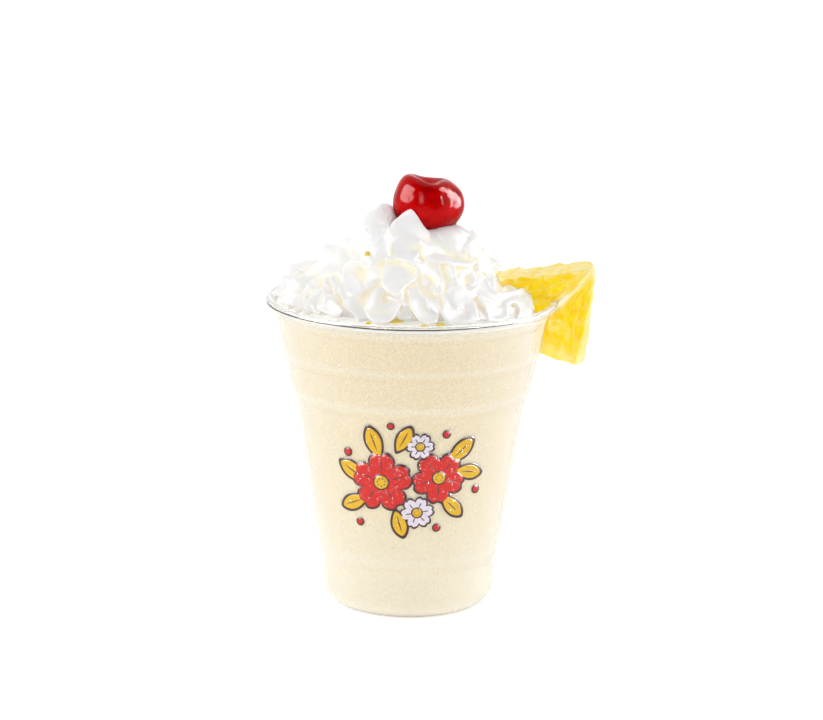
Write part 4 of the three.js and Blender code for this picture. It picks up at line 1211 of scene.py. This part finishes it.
def slit():
    """The knife's cut above the rim, which runs up towards the point and narrows to nothing."""
    pts = [(47.6, -0.4, 0.5), (49.2, 1.2, 0.25), (50.8, 2.8, 0.12), (52.4, 4.4, 0.05)]
    V = []
    for x, z, w in pts:
        for y in (-9.0, 9.0):
            k = 1.0 if y < 0 else 0.55
            V.append((x - w * 0.72 * k, y, z + w * 0.69 * k))
            V.append((x + w * 0.72 * k, y, z - w * 0.69 * k))
    V = np.array(V)
    V[:, 2] += BEAD_Z
    f = []
    for i in range(len(pts) - 1):
        a, b = i * 4, (i + 1) * 4
        f += [[a, b, b + 1, a + 1], [a + 2, a + 3, b + 3, b + 2], [a, a + 2, b + 2, b], [a + 1, b + 1, b + 3, a + 3]]
    f += [[0, 1, 3, 2], [(len(pts) - 1) * 4 + k for k in (0, 2, 3, 1)]]
    o = fix_normals(build("slit", V, f))
    set_coords(o, turn_z(coords(o), WEDGE_AZ))
    return o


wedge_room = wedge.copy()
wedge_room.data = wedge.data.copy()
bpy.context.scene.collection.objects.link(wedge_room)
boolean(wedge, wall_cutter(0.04))
boolean(wedge, slit())

# attributes for the flesh: distance from the point, angle, and how pale it is; the core, rind and seam are paler flesh,
# while the top and outer cut faces are painted paler by the way they face, painted light
V = turn_z(coords(wedge), -WEDGE_AZ)
V[:, 2] -= BEAD_Z
N = turn_z(normals(wedge), -WEDGE_AZ)
ang = np.arctan2(V[:, 2] - APEX[1], V[:, 0] - APEX[0]) % TAU
rad = np.hypot(V[:, 2] - APEX[1], V[:, 0] - APEX[0])
out_cut = np.clip(N[:, 0] * 1.6, 0, 1)
top_cut = np.clip(N[:, 2] * 1.5, 0, 1)
rind = np.clip((rad - (WEDGE_R - 6.0)) / 5.0, 0, 1)
core = np.clip((9.0 - rad) / 6.0, 0, 1)
# a pale seam runs on from the cut to the point
along = np.clip(((V[:, 0] - 46.5) + (V[:, 2] + 2.5)) / (14.0 + 14.5), 0, 1)
off_line = np.abs((V[:, 0] - 47.6) - (V[:, 2] + 1.9) * 0.97 + 0.5 * np.sin(along * 9.0)) / 1.4
fissure = np.exp(-((off_line / (0.75 - 0.45 * along)) ** 2)) * np.clip((V[:, 2] + 6) / 3, 0, 1) * np.clip((APEX[1] - 1.0 - V[:, 2]) / 3, 0, 1)
pale = np.clip(0.72 * out_cut + 0.95 * top_cut + 0.55 * rind ** 1.5 + 0.75 * core + 0.9 * fissure, 0, 1)
attribute(wedge, "pale", pale)
# painted highlight: a whitish spot where the bead enters the cut, with paler flesh along the seam
bead_glint = np.exp(-((((V[:, 0] - 50.2) - 0.6 * (V[:, 2] - 1.2)) / 1.5) ** 2) - (((V[:, 2] - 1.2) + 0.6 * (V[:, 0] - 50.2)) / 3.0) ** 2)
attribute(wedge, "white", np.clip(bead_glint + 0.45 * fissure, 0, 1))
attribute(wedge, "fan", ang)
attribute(wedge, "rad", rad * 0.1)

pm = Mat("pineapple_flesh")
co = pm.coord()
comb = pm.n("CombineXYZ")
pm.link(pm.math("MULTIPLY", pm.attr("fan"), 3.0), comb.inputs[0])
pm.link(pm.math("MULTIPLY", pm.attr("rad"), 0.55), comb.inputs[1])
sep = pm.n("SeparateXYZ")
pm.link(co, sep.inputs[0])
pm.link(pm.math("MULTIPLY", sep.outputs[1], 120.0), comb.inputs[2])
fib = pm.noise(comb.outputs[0], 9.0, 4, 0.62)
fib2 = pm.noise(comb.outputs[0], 3.2, 2, 0.5, 0.4)
mot = pm.noise(co, 260.0, 3, 0.6)
deep = pm.ramp(fib2, [(0.34, srgb(254, 220, 6)), (0.5, srgb(252, 213, 0)), (0.66, srgb(249, 204, 0))]).outputs[0]
light = pm.ramp(mot, [(0.35, srgb(254, 232, 134)), (0.65, srgb(255, 241, 182))]).outputs[0]
streak = pm.ramp(fib, [(0.50, (0, 0, 0)), (0.68, (1, 1, 1))]).outputs[0]
c1 = pm.mix(pm.math("MULTIPLY", streak, 0.08), deep, srgb(253, 228, 90))
cloud = pm.noise(co, 105.0, 4, 0.66, 0.6)
c1 = pm.mix(pm.math("MULTIPLY", pm.ramp(cloud, [(0.555, (0, 0, 0)), (0.625, (1, 1, 1))]).outputs[0], 0.72), c1, srgb(254, 234, 142))
# partly paler flesh, partly painted light on the top and outer cut faces
fac = pm.math("MULTIPLY", pm.attr("pale"), pm.math("ADD", pm.math("MULTIPLY", pm.math("SUBTRACT", mot, 0.5), 1.1), 0.85), clamp=True)
col = pm.mix(fac, c1, light)
# painted highlight by the bead, and pale flesh along the seam
col = pm.mix(pm.attr("white"), col, srgb(254, 245, 212))
pb = pm.n("BsdfPrincipled")
pb.inputs["Roughness"].default_value = 0.30
pb.inputs["Specular IOR Level"].default_value = 0.06
# painted light: the flesh glows a little in its own colour
pb.inputs["Emission Strength"].default_value = 0.14
pm.link(col, pb.inputs["Emission Color"])
pb.inputs["Subsurface Weight"].default_value = 0.25
pb.inputs["Subsurface Radius"].default_value = (1.0, 0.75, 0.15)
pb.inputs["Subsurface Scale"].default_value = 0.0025
pm.link(col, pb.inputs["Base Color"])
pm.link(pm.bump(fib, 0.35, 0.0005), pb.inputs["Normal"])
pm.link(pb.outputs[0], pm.out.inputs["Surface"])
finish_piece(wedge, pm, "pineapple_flesh", "pineapple_wedge")

# the cream is cut where the fruit sits in it, and the drink where the wedge dips into it
hole = make_cherry("cherry_room", 0.12, 96, 64, detail=False)
boolean(cream, hole)
boolean(drink, wedge_room, keep=True)
boolean(cream, wedge_room)


def thin_out(o, limit):
    """Fewer triangles where the surface is flat."""
    m = o.modifiers.new("tri", "TRIANGULATE")
    apply_mods(o)
    n = len(o.data.polygons)
    if n > limit:
        m = o.modifiers.new("dec", "DECIMATE")
        m.ratio = limit / n
        apply_mods(o)
    o.data.shade_smooth()
    return o


def cavity(o):
    """How deep each point lies in a fold, and how far it stands out on a crest."""
    e, deg = neighbours(o)
    P, N = coords(o), normals(o)
    near_ = ((P - smooth_field(P, e, deg, 14)) * N).sum(1)
    far = ((P - smooth_field(P, e, deg, 120)) * N).sum(1)
    pit = np.clip(-near_ / 0.20, 0, 1) * 0.45 + np.clip((-far - 0.03) / 0.65, 0, 1) * 0.95
    crest = np.clip(near_ / 0.18, 0, 1)
    attribute(o, "pit", np.clip(smooth_field(pit, e, deg, 4), 0, 1))
    attribute(o, "crest", smooth_field(crest, e, deg, 1))


thin_out(cream, 196000)
cavity(cream)

# END FRUIT
# ------------------------------------------------------------------ rim line, print and drops on the wall
OUT = outside()


def wall_frame(z):
    """Radius and outward lean of the wall's outside at height z."""
    r = np.interp(z, OUT[:, 1], OUT[:, 0])
    d = (np.interp(z + 0.4, OUT[:, 1], OUT[:, 0]) - np.interp(z - 0.4, OUT[:, 1], OUT[:, 0])) / 0.8
    n = np.sqrt(1 + d * d)
    return r, 1 / n, -d / n


def on_wall(u, v, off, az0=-90.0):
    """A flat point (u across, v up) laid on the wall, off millimetres proud of it."""
    r, nr, nz = wall_frame(v)
    a = math.radians(az0) + u / r
    rr = r + off * nr
    return np.stack([rr * np.cos(a), rr * np.sin(a), v + off * nz], axis=-1)


def dark_rim_ring():
    """A painted reflection: the thin dark line where the rolled edge meets the wall, drawn along the bead, in place of
    the dark room seen in it.
    """
    seg = 360
    V = []
    for j in range(seg):
        a = j / seg * TAU - math.pi
        left = math.exp(-(((math.degrees(a) + 150) / 16) ** 2)) if a < 0 else 0.0
        front = 1 / (1 + math.exp((math.degrees(a) + 40) / 3.5)) if a < 0.6 else 0.0
        back = 1 / (1 + math.exp((math.degrees(a) + 172) / 2.5)) if a < 0 else 1.0
        half = (8.2 + 2.4 * left + 1.2 * math.sin(3 * a + 0.6)) * (0.04 + 0.96 * front * (1 - back))
        mid = 8.0 + 3.0 * left
        for q, off in ((-1, 0.0), (-1, 0.035), (-0.4, 0.05), (0.4, 0.05), (1, 0.035), (1, 0.0), (0.4, -0.05), (-0.4, -0.05)):
            t = math.radians(mid + q * half)
            rr = RIM_R - BEAD_R + (BEAD_R + off) * math.cos(t)
            V.append((rr * math.cos(a), rr * math.sin(a), BEAD_Z + (BEAD_R + off) * math.sin(t)))
    return fix_normals(build("rim_dark_reflection", V, grid_faces(seg, 8, True, True)))


def gleam_ring():
    """A painted highlight: a pale band on the underside of the bead, below the dark line."""
    seg = 360
    V = []
    for j in range(seg):
        a = j / seg * TAU
        deg = (math.degrees(a) + 180) % 360 - 180
        up = 78 * math.exp(-(((deg + 15) / 20) ** 4))
        for t, off in ((-1 + up, 0.0), (-2 + up, 0.02), (-22 + 0.6 * up, 0.025), (-44, 0.025), (-70, 0.02), (-74, 0.0), (-44, -0.05), (-22, -0.05)):
            q = math.radians(t + 1.5 * math.sin(2 * a))
            rr = RIM_R - BEAD_R + (BEAD_R + off) * math.cos(q)
            V.append((rr * math.cos(a), rr * math.sin(a), BEAD_Z + (BEAD_R + off) * math.sin(q)))
    return fix_normals(build("rim_gleam", V, grid_faces(seg, 8, True, True)))


def foot_ring():
    """A painted shadow: the thin warm line round the foot, just above the table."""
    seg = 360
    V = []
    for j in range(seg):
        a = j / seg * TAU
        wob = 0.02 * math.sin(3 * a + 0.4)
        for t, off in ((0.13, 0.0), (0.15, 0.02), (0.24 + wob, 0.03), (0.36 + wob, 0.02), (0.38 + wob, 0.0), (0.24, -0.05)):
            rr = CONTACT_R + (HEEL_R - CONTACT_R + off) * math.sin(t)
            V.append((rr * math.cos(a), rr * math.sin(a), HEEL_H - (HEEL_H + off) * math.cos(t)))
    return fix_normals(build("foot_line", V, grid_faces(seg, 6, True, True)))


def slab(centre, outline, off, thick=0.03, rings=6):
    """A closed thin patch on the wall: outline is relative to centre, both flat (u, v)."""
    o = np.asarray(outline, dtype=float)
    n = len(o)
    c = np.asarray(centre, dtype=float)
    V = []
    for lay in (off, off - thick):
        V.append(on_wall(np.array([c[0]]), np.array([c[1]]), lay))
        for i in range(1, rings + 1):
            p = c + o * (i / rings)
            edge = 0.35 * thick if i == rings and lay == off else 0
            V.append(on_wall(p[:, 0], p[:, 1], lay - edge))
    V = np.concatenate(V)
    half = 1 + rings * n
    f = []
    for s, flip in ((0, False), (half, True)):
        for j in range(n):
            k = (j + 1) % n
            t = [s, s + 1 + j, s + 1 + k]
            f.append(t[::-1] if flip else t)
            for i in range(rings - 1):
                q = [s + 1 + i * n + j, s + 1 + (i + 1) * n + j, s + 1 + (i + 1) * n + k, s + 1 + i * n + k]
                f.append(q[::-1] if flip else q)
    e = 1 + (rings - 1) * n
    for j in range(n):
        k = (j + 1) % n
        f.append([e + j, half + e + j, half + e + k, e + k])
    return V, f


class Patches:
    def __init__(self):
        self.v, self.f, self.n = [], [], 0

    def add(self, part):
        V, f = part
        self.v.append(V)
        self.f += [[i + self.n for i in q] for q in f]
        self.n += len(V)

    def make(self, name):
        return fix_normals(build(name, np.concatenate(self.v), self.f))


def flower_outline(R, petals, turn, notch, n=120):
    a = np.arange(n) / n * TAU
    k = np.abs(np.cos((a - turn) * petals / 2)) ** 0.55
    dent = 0.10 * np.exp(-((((a - turn) * petals / TAU + 0.5) % 1.0 - 0.5) / 0.09) ** 2)
    r = R * (notch + (1 - notch) * k - dent)
    return np.stack([r * np.cos(a), r * np.sin(a)], axis=-1)


def leaf_outline(L, W, turn, n=60):
    t = np.arange(n) / n * TAU
    x = L / 2 * np.cos(t)
    y = W / 2 * np.sin(t) * (1 - 0.62 * np.cos(t) ** 2) ** 0.5 * (1 + 0.18 * np.cos(t))
    c, s = math.cos(turn), math.sin(turn)
    return np.stack([x * c - y * s, x * s + y * c], axis=-1)


def circle(R, n=28):
    a = np.arange(n) / n * TAU
    return np.stack([R * np.cos(a), R * np.sin(a)], axis=-1)


ink_dark, ink_red, ink_yellow, ink_pale = Patches(), Patches(), Patches(), Patches()
LINE = 0.75


def leaf(u, v, L, W, turn, ink, vein=True):
    turn = math.radians(turn)
    ink_dark.add(slab((u, v), leaf_outline(L + 3 * LINE, W + 2 * LINE, turn), 0.04))
    ink.add(slab((u, v), leaf_outline(L, W, turn), 0.065))
    if vein:
        ink_dark.add(slab((u, v), leaf_outline(L * 0.66, 0.42, turn), 0.085, rings=2))


def flower(u, v, R, petals, turn, ink, core_ink, core):
    turn = math.radians(turn)
    ink_dark.add(slab((u, v), flower_outline(R + LINE, petals, turn, 0.66), 0.06))
    ink.add(slab((u, v), flower_outline(R, petals, turn, 0.60), 0.085))
    for i in range(petals):
        a = turn + TAU * i / petals
        q = (u + 0.52 * R * math.cos(a), v + 0.52 * R * math.sin(a))
        ink_dark.add(slab(q, leaf_outline(R * 0.42, 0.38, a), 0.105, rings=2))
    ink_dark.add(slab((u, v), circle(core + 0.5), 0.11, rings=3))
    core_ink.add(slab((u, v), circle(core), 0.13, rings=3))
    for i in range(7):
        a = turn + TAU * i / 7
        ink_dark.add(slab((u + core * 0.58 * math.cos(a), v + core * 0.58 * math.sin(a)), circle(core * 0.11, 12), 0.145, rings=1))


# where drops of water gather: (u, v, radius)
WET = [(-9.4, 49.6, 9.4), (9.8, 51.4, 8.2), (2.6, 39.2, 4.6), (3.4, 62.6, 3.6), (-19.5, 52.5, 2.4), (-12.0, 63.5, 2.4), (17.5, 60.5, 2.4), (20.6, 52.6, 2.2), (14.5, 41.0, 2.4), (-3.2, 35.2, 2.2), (-19.0, 41.5, 2.4)]

# a spray of flowers: two red, two pale, with yellow leaves
for u, v, L, W, t in (
    (-19.5, 55.5, 11.0, 5.2, 152), (-12.0, 66.5, 10.5, 5.0, 112), (-2.0, 68.0, 9.0, 4.4, 62),
    (17.5, 63.5, 10.5, 5.0, 40), (20.6, 55.6, 9.5, 4.6, -12), (14.5, 44.0, 9.6, 4.6, -48),
    (-3.2, 38.2, 9.0, 4.4, -74), (-19.0, 44.5, 9.8, 4.8, 205),
):
    leaf(u, v - 3, L, W, t, ink_yellow)
flower(-9.4, 49.6, 10.4, 5, 18, ink_red, ink_yellow, 2.3)
flower(9.8, 51.4, 9.0, 5, 52, ink_red, ink_yellow, 2.0)
flower(2.6, 39.2, 5.4, 6, 10, ink_pale, ink_yellow, 1.5)
flower(3.4, 62.6, 4.4, 6, 0, ink_pale, ink_yellow, 1.25)
for u, v, R in ((-21.5, 62.0, 1.15), (-16.8, 37.6, 1.0), (9.2, 36.6, 1.0), (23.6, 48.8, 1.15), (12.2, 69.6, 1.0), (-6.4, 72.6, 0.85)):
    ink_dark.add(slab((u, v - 3), circle(R + 0.5), 0.05, rings=2))
    ink_red.add(slab((u, v - 3), circle(R), 0.07, rings=2))


def ink(name, color, rough=0.34):
    m = Mat(name)
    c = m.coord()
    w = m.noise(c, 700.0, 2, 0.5)
    col = m.ramp(w, [(0.3, tuple(x * 0.90 for x in color)), (0.7, tuple(min(1, x * 1.06) for x in color))]).outputs[0]
    b = m.n("BsdfPrincipled")
    b.inputs["Roughness"].default_value = rough
    m.link(col, b.inputs["Base Color"])
    m.link(m.bump(w, 0.06, 0.0002), b.inputs["Normal"])
    m.link(b.outputs[0], m.out.inputs["Surface"])
    return m


# painted reflection: a dark line on the bead
finish_piece(dark_rim_ring(), ink("rim_reflection_grey", srgb(30, 24, 30), 0.7), "clear_cup")
finish_piece(foot_ring(), ink("foot_shade", srgb(170, 150, 120), 0.6), "clear_cup")
# painted highlight: a pale, mostly clear band on the bead
gm = Mat("rim_painted_highlight")
gb = gm.n("BsdfPrincipled")
gb.inputs["Base Color"].default_value = srgb(250, 246, 238) + (1,)
gb.inputs["Roughness"].default_value = 0.15
gtr = gm.n("BsdfTransparent")
gmx = gm.n("MixShader")
gmx.inputs[0].default_value = 0.84
gm.link(gtr.outputs[0], gmx.inputs[1])
gm.link(gb.outputs[0], gmx.inputs[2])
gm.link(gmx.outputs[0], gm.out.inputs["Surface"])
finish_piece(gleam_ring(), gm, "clear_cup")
finish_piece(ink_dark.make("print_outline"), ink("ink_brown", srgb(74, 44, 46)), "clear_cup")
finish_piece(ink_red.make("print_red"), ink("ink_red", srgb(222, 24, 12)), "clear_cup")
finish_piece(ink_yellow.make("print_yellow"), ink("ink_yellow", srgb(240, 188, 6)), "clear_cup")
finish_piece(ink_pale.make("print_pale"), ink("ink_pale", srgb(238, 228, 240)), "clear_cup")


def make_drops():
    """Small beads of water on the wall, a few of them run together."""
    r = np.random.default_rng(21)
    V, f, n = [], [], 0
    rings, seg = 3, 9
    placed = 0
    spread = [q[2] ** 2 for q in WET]
    spread = np.array(spread) / sum(spread)
    while placed < 820:
        if r.random() < 0.90:
            u0, v0, R0 = WET[r.choice(len(WET), p=spread)]
            q, w = r.uniform(0, TAU), R0 * math.sqrt(r.random())
            z = v0 + w * math.sin(q)
            az = -90 + math.degrees((u0 + w * math.cos(q)) / wall_frame(z)[0])
        else:
            az = r.uniform(-180, 180)
            z = r.uniform(14, 99)
        rad = 0.12 + 0.44 * r.random() ** 2.6
        h = rad * r.uniform(0.38, 0.55)
        ring = []
        stretch = 1 + (r.uniform(0, 0.35) if rad > 0.3 else 0)
        wob = r.uniform(0, TAU)
        for i in range(rings):
            t = (i + 1) / rings
            a = np.arange(seg) / seg * TAU
            q = rad * t * (1 + 0.08 * np.sin(2 * a + wob))
            ring.append(on_wall(q * np.cos(a), z + q * np.sin(a) * stretch, h * math.cos(t * math.pi / 2) + 0.02, az))
        top = on_wall(np.array([0.0]), np.array([z]), h + 0.02, az)
        under = on_wall(np.array([0.0]), np.array([z]), -0.02, az)
        base = on_wall(rad * np.cos(np.arange(seg) / seg * TAU), z + rad * np.sin(np.arange(seg) / seg * TAU) * stretch, -0.02, az)
        pts = np.concatenate([top] + ring + [base, under])
        V.append(pts)
        for j in range(seg):
            k = (j + 1) % seg
            f.append([n, n + 1 + j, n + 1 + k])
            for i in range(rings):
                f.append([n + 1 + i * seg + j, n + 1 + (i + 1) * seg + j, n + 1 + (i + 1) * seg + k, n + 1 + i * seg + k])
            e = n + 1 + rings * seg
            f.append([e + k, e + j, n + len(pts) - 1])
        n += len(pts)
        placed += 1
    return build("water_drops", np.concatenate(V), f)


wm_ = Mat("water")
wgl = wm_.n("BsdfGlossy")
wgl.inputs["Color"].default_value = (1, 1, 1, 1)
wgl.inputs["Roughness"].default_value = 0.06
wtr = wm_.n("BsdfTransparent")
wtr.inputs["Color"].default_value = (0.965, 0.962, 0.958, 1)
wmx = wm_.n("MixShader")
wmx.inputs[0].default_value = 0.09
wm_.link(wtr.outputs[0], wmx.inputs[1])
wm_.link(wgl.outputs[0], wmx.inputs[2])
wm_.link(wmx.outputs[0], wm_.out.inputs["Surface"])
finish_piece(make_drops(), wm_, "clear_cup")


# ------------------------------------------------------------------ syrup pooled under the cream
def drink_top(x, y):
    r = math.hypot(x, y)
    top = 45.5
    t = min(1.0, max(0.0, (r - (top - 0.25)) / (34 - top)))
    return LEVEL_WALL + (LEVEL_DOME - LEVEL_WALL) * math.sin(min(1.0, t * 2.3) * math.pi / 2)


def puddle(x, y, z, rx, ry, h, turn, seed, n=40, rings=9):
    r = np.random.default_rng(seed)
    a = np.arange(n) / n * TAU
    edge = 1 + sum(r.uniform(0.04, 0.14) * np.sin(k * a + r.uniform(0, TAU)) for k in (2, 3, 5))
    V = [(0, 0, h)]
    for i in range(1, rings + 1):
        t = i / rings
        for j in range(n):
            V.append((rx * t * edge[j] * math.cos(a[j]), ry * t * edge[j] * math.sin(a[j]), h * (1 - t ** 2.6)))
    V.append((0, 0, -0.6))
    for j in range(n):
        V.append((rx * 0.9 * edge[j] * math.cos(a[j]), ry * 0.9 * edge[j] * math.sin(a[j]), -0.5))
    V = turn_z(np.array(V, dtype=float), math.radians(turn))
    V = V + np.array([x, y, z])
    f = [[0, 1 + j, 1 + (j + 1) % n] for j in range(n)]
    f += (grid_faces(rings, n, False, True) + 1).tolist()
    b = 1 + rings * n
    rim = 1 + (rings - 1) * n
    for j in range(n):
        k = (j + 1) % n
        f.append([rim + j, b + 1 + j, b + 1 + k, rim + k])
        f.append([b, b + 1 + k, b + 1 + j])
    return fix_normals(build("pool", V, f))


def pool_at(px, py, rx, ry, turn, k):
    """A pool on the drink where the camera sees this point of the frame."""
    d = sight(px, py)
    x, y = 0.0, -42.0
    for _ in range(4):
        P = CAM_P + d * ((drink_top(x, y) + 0.3 - CAM_P[2]) / d[2])
        x, y = P[0], P[1]
    return puddle(x, y, drink_top(x, y) + 0.05, rx, ry, 0.6, turn, k)


pools = []
for px, py, rx, ry, turn in ((393, 319.0, 3.6, 3.2, -8), (397, 316.0, 1.8, 2.4, 20), (368.5, 319.5, 1.1, 1.0, 0), (424, 322.0, 1.5, 1.0, 10), (440.5, 321.8, 1.5, 1.3, -10), (482.5, 316.0, 2.2, 3.0, 30), (345, 306, 2.6, 1.6, -30), (397, 313, 1.3, 1.6, 0)):
    pools.append(pool_at(px, py, rx, ry, turn, len(pools) + 3))
bm = bmesh.new()
bm.from_mesh(cream.data)
tree = BVHTree.FromBMesh(bm)
bm.free()
hit = tree.ray_cast(Vector(CAM_P * 0.001), Vector(sight(368.8, 253.6)))[0]
P = np.array(hit) * 1000
pools.append(puddle(P[0], P[1] + 0.5, P[2] - 0.1, 1.5, 1.3, 0.8, 10, 31))
syrup = join(pools, "pineapple_syrup")
ym = Mat("syrup")
yn = ym.noise(ym.coord(), 300.0, 2, 0.5)
yb = ym.n("BsdfPrincipled")
yb.inputs["Roughness"].default_value = 0.12
yb.inputs["Subsurface Weight"].default_value = 0.2
yb.inputs["Subsurface Radius"].default_value = (1.0, 0.7, 0.1)
yb.inputs["Subsurface Scale"].default_value = 0.0012
ym.link(ym.ramp(yn, [(0.35, srgb(246, 212, 66)), (0.65, srgb(250, 226, 104))]).outputs[0], yb.inputs["Base Color"])
ym.link(yb.outputs[0], ym.out.inputs["Surface"])
finish_piece(syrup, ym, "frappe")
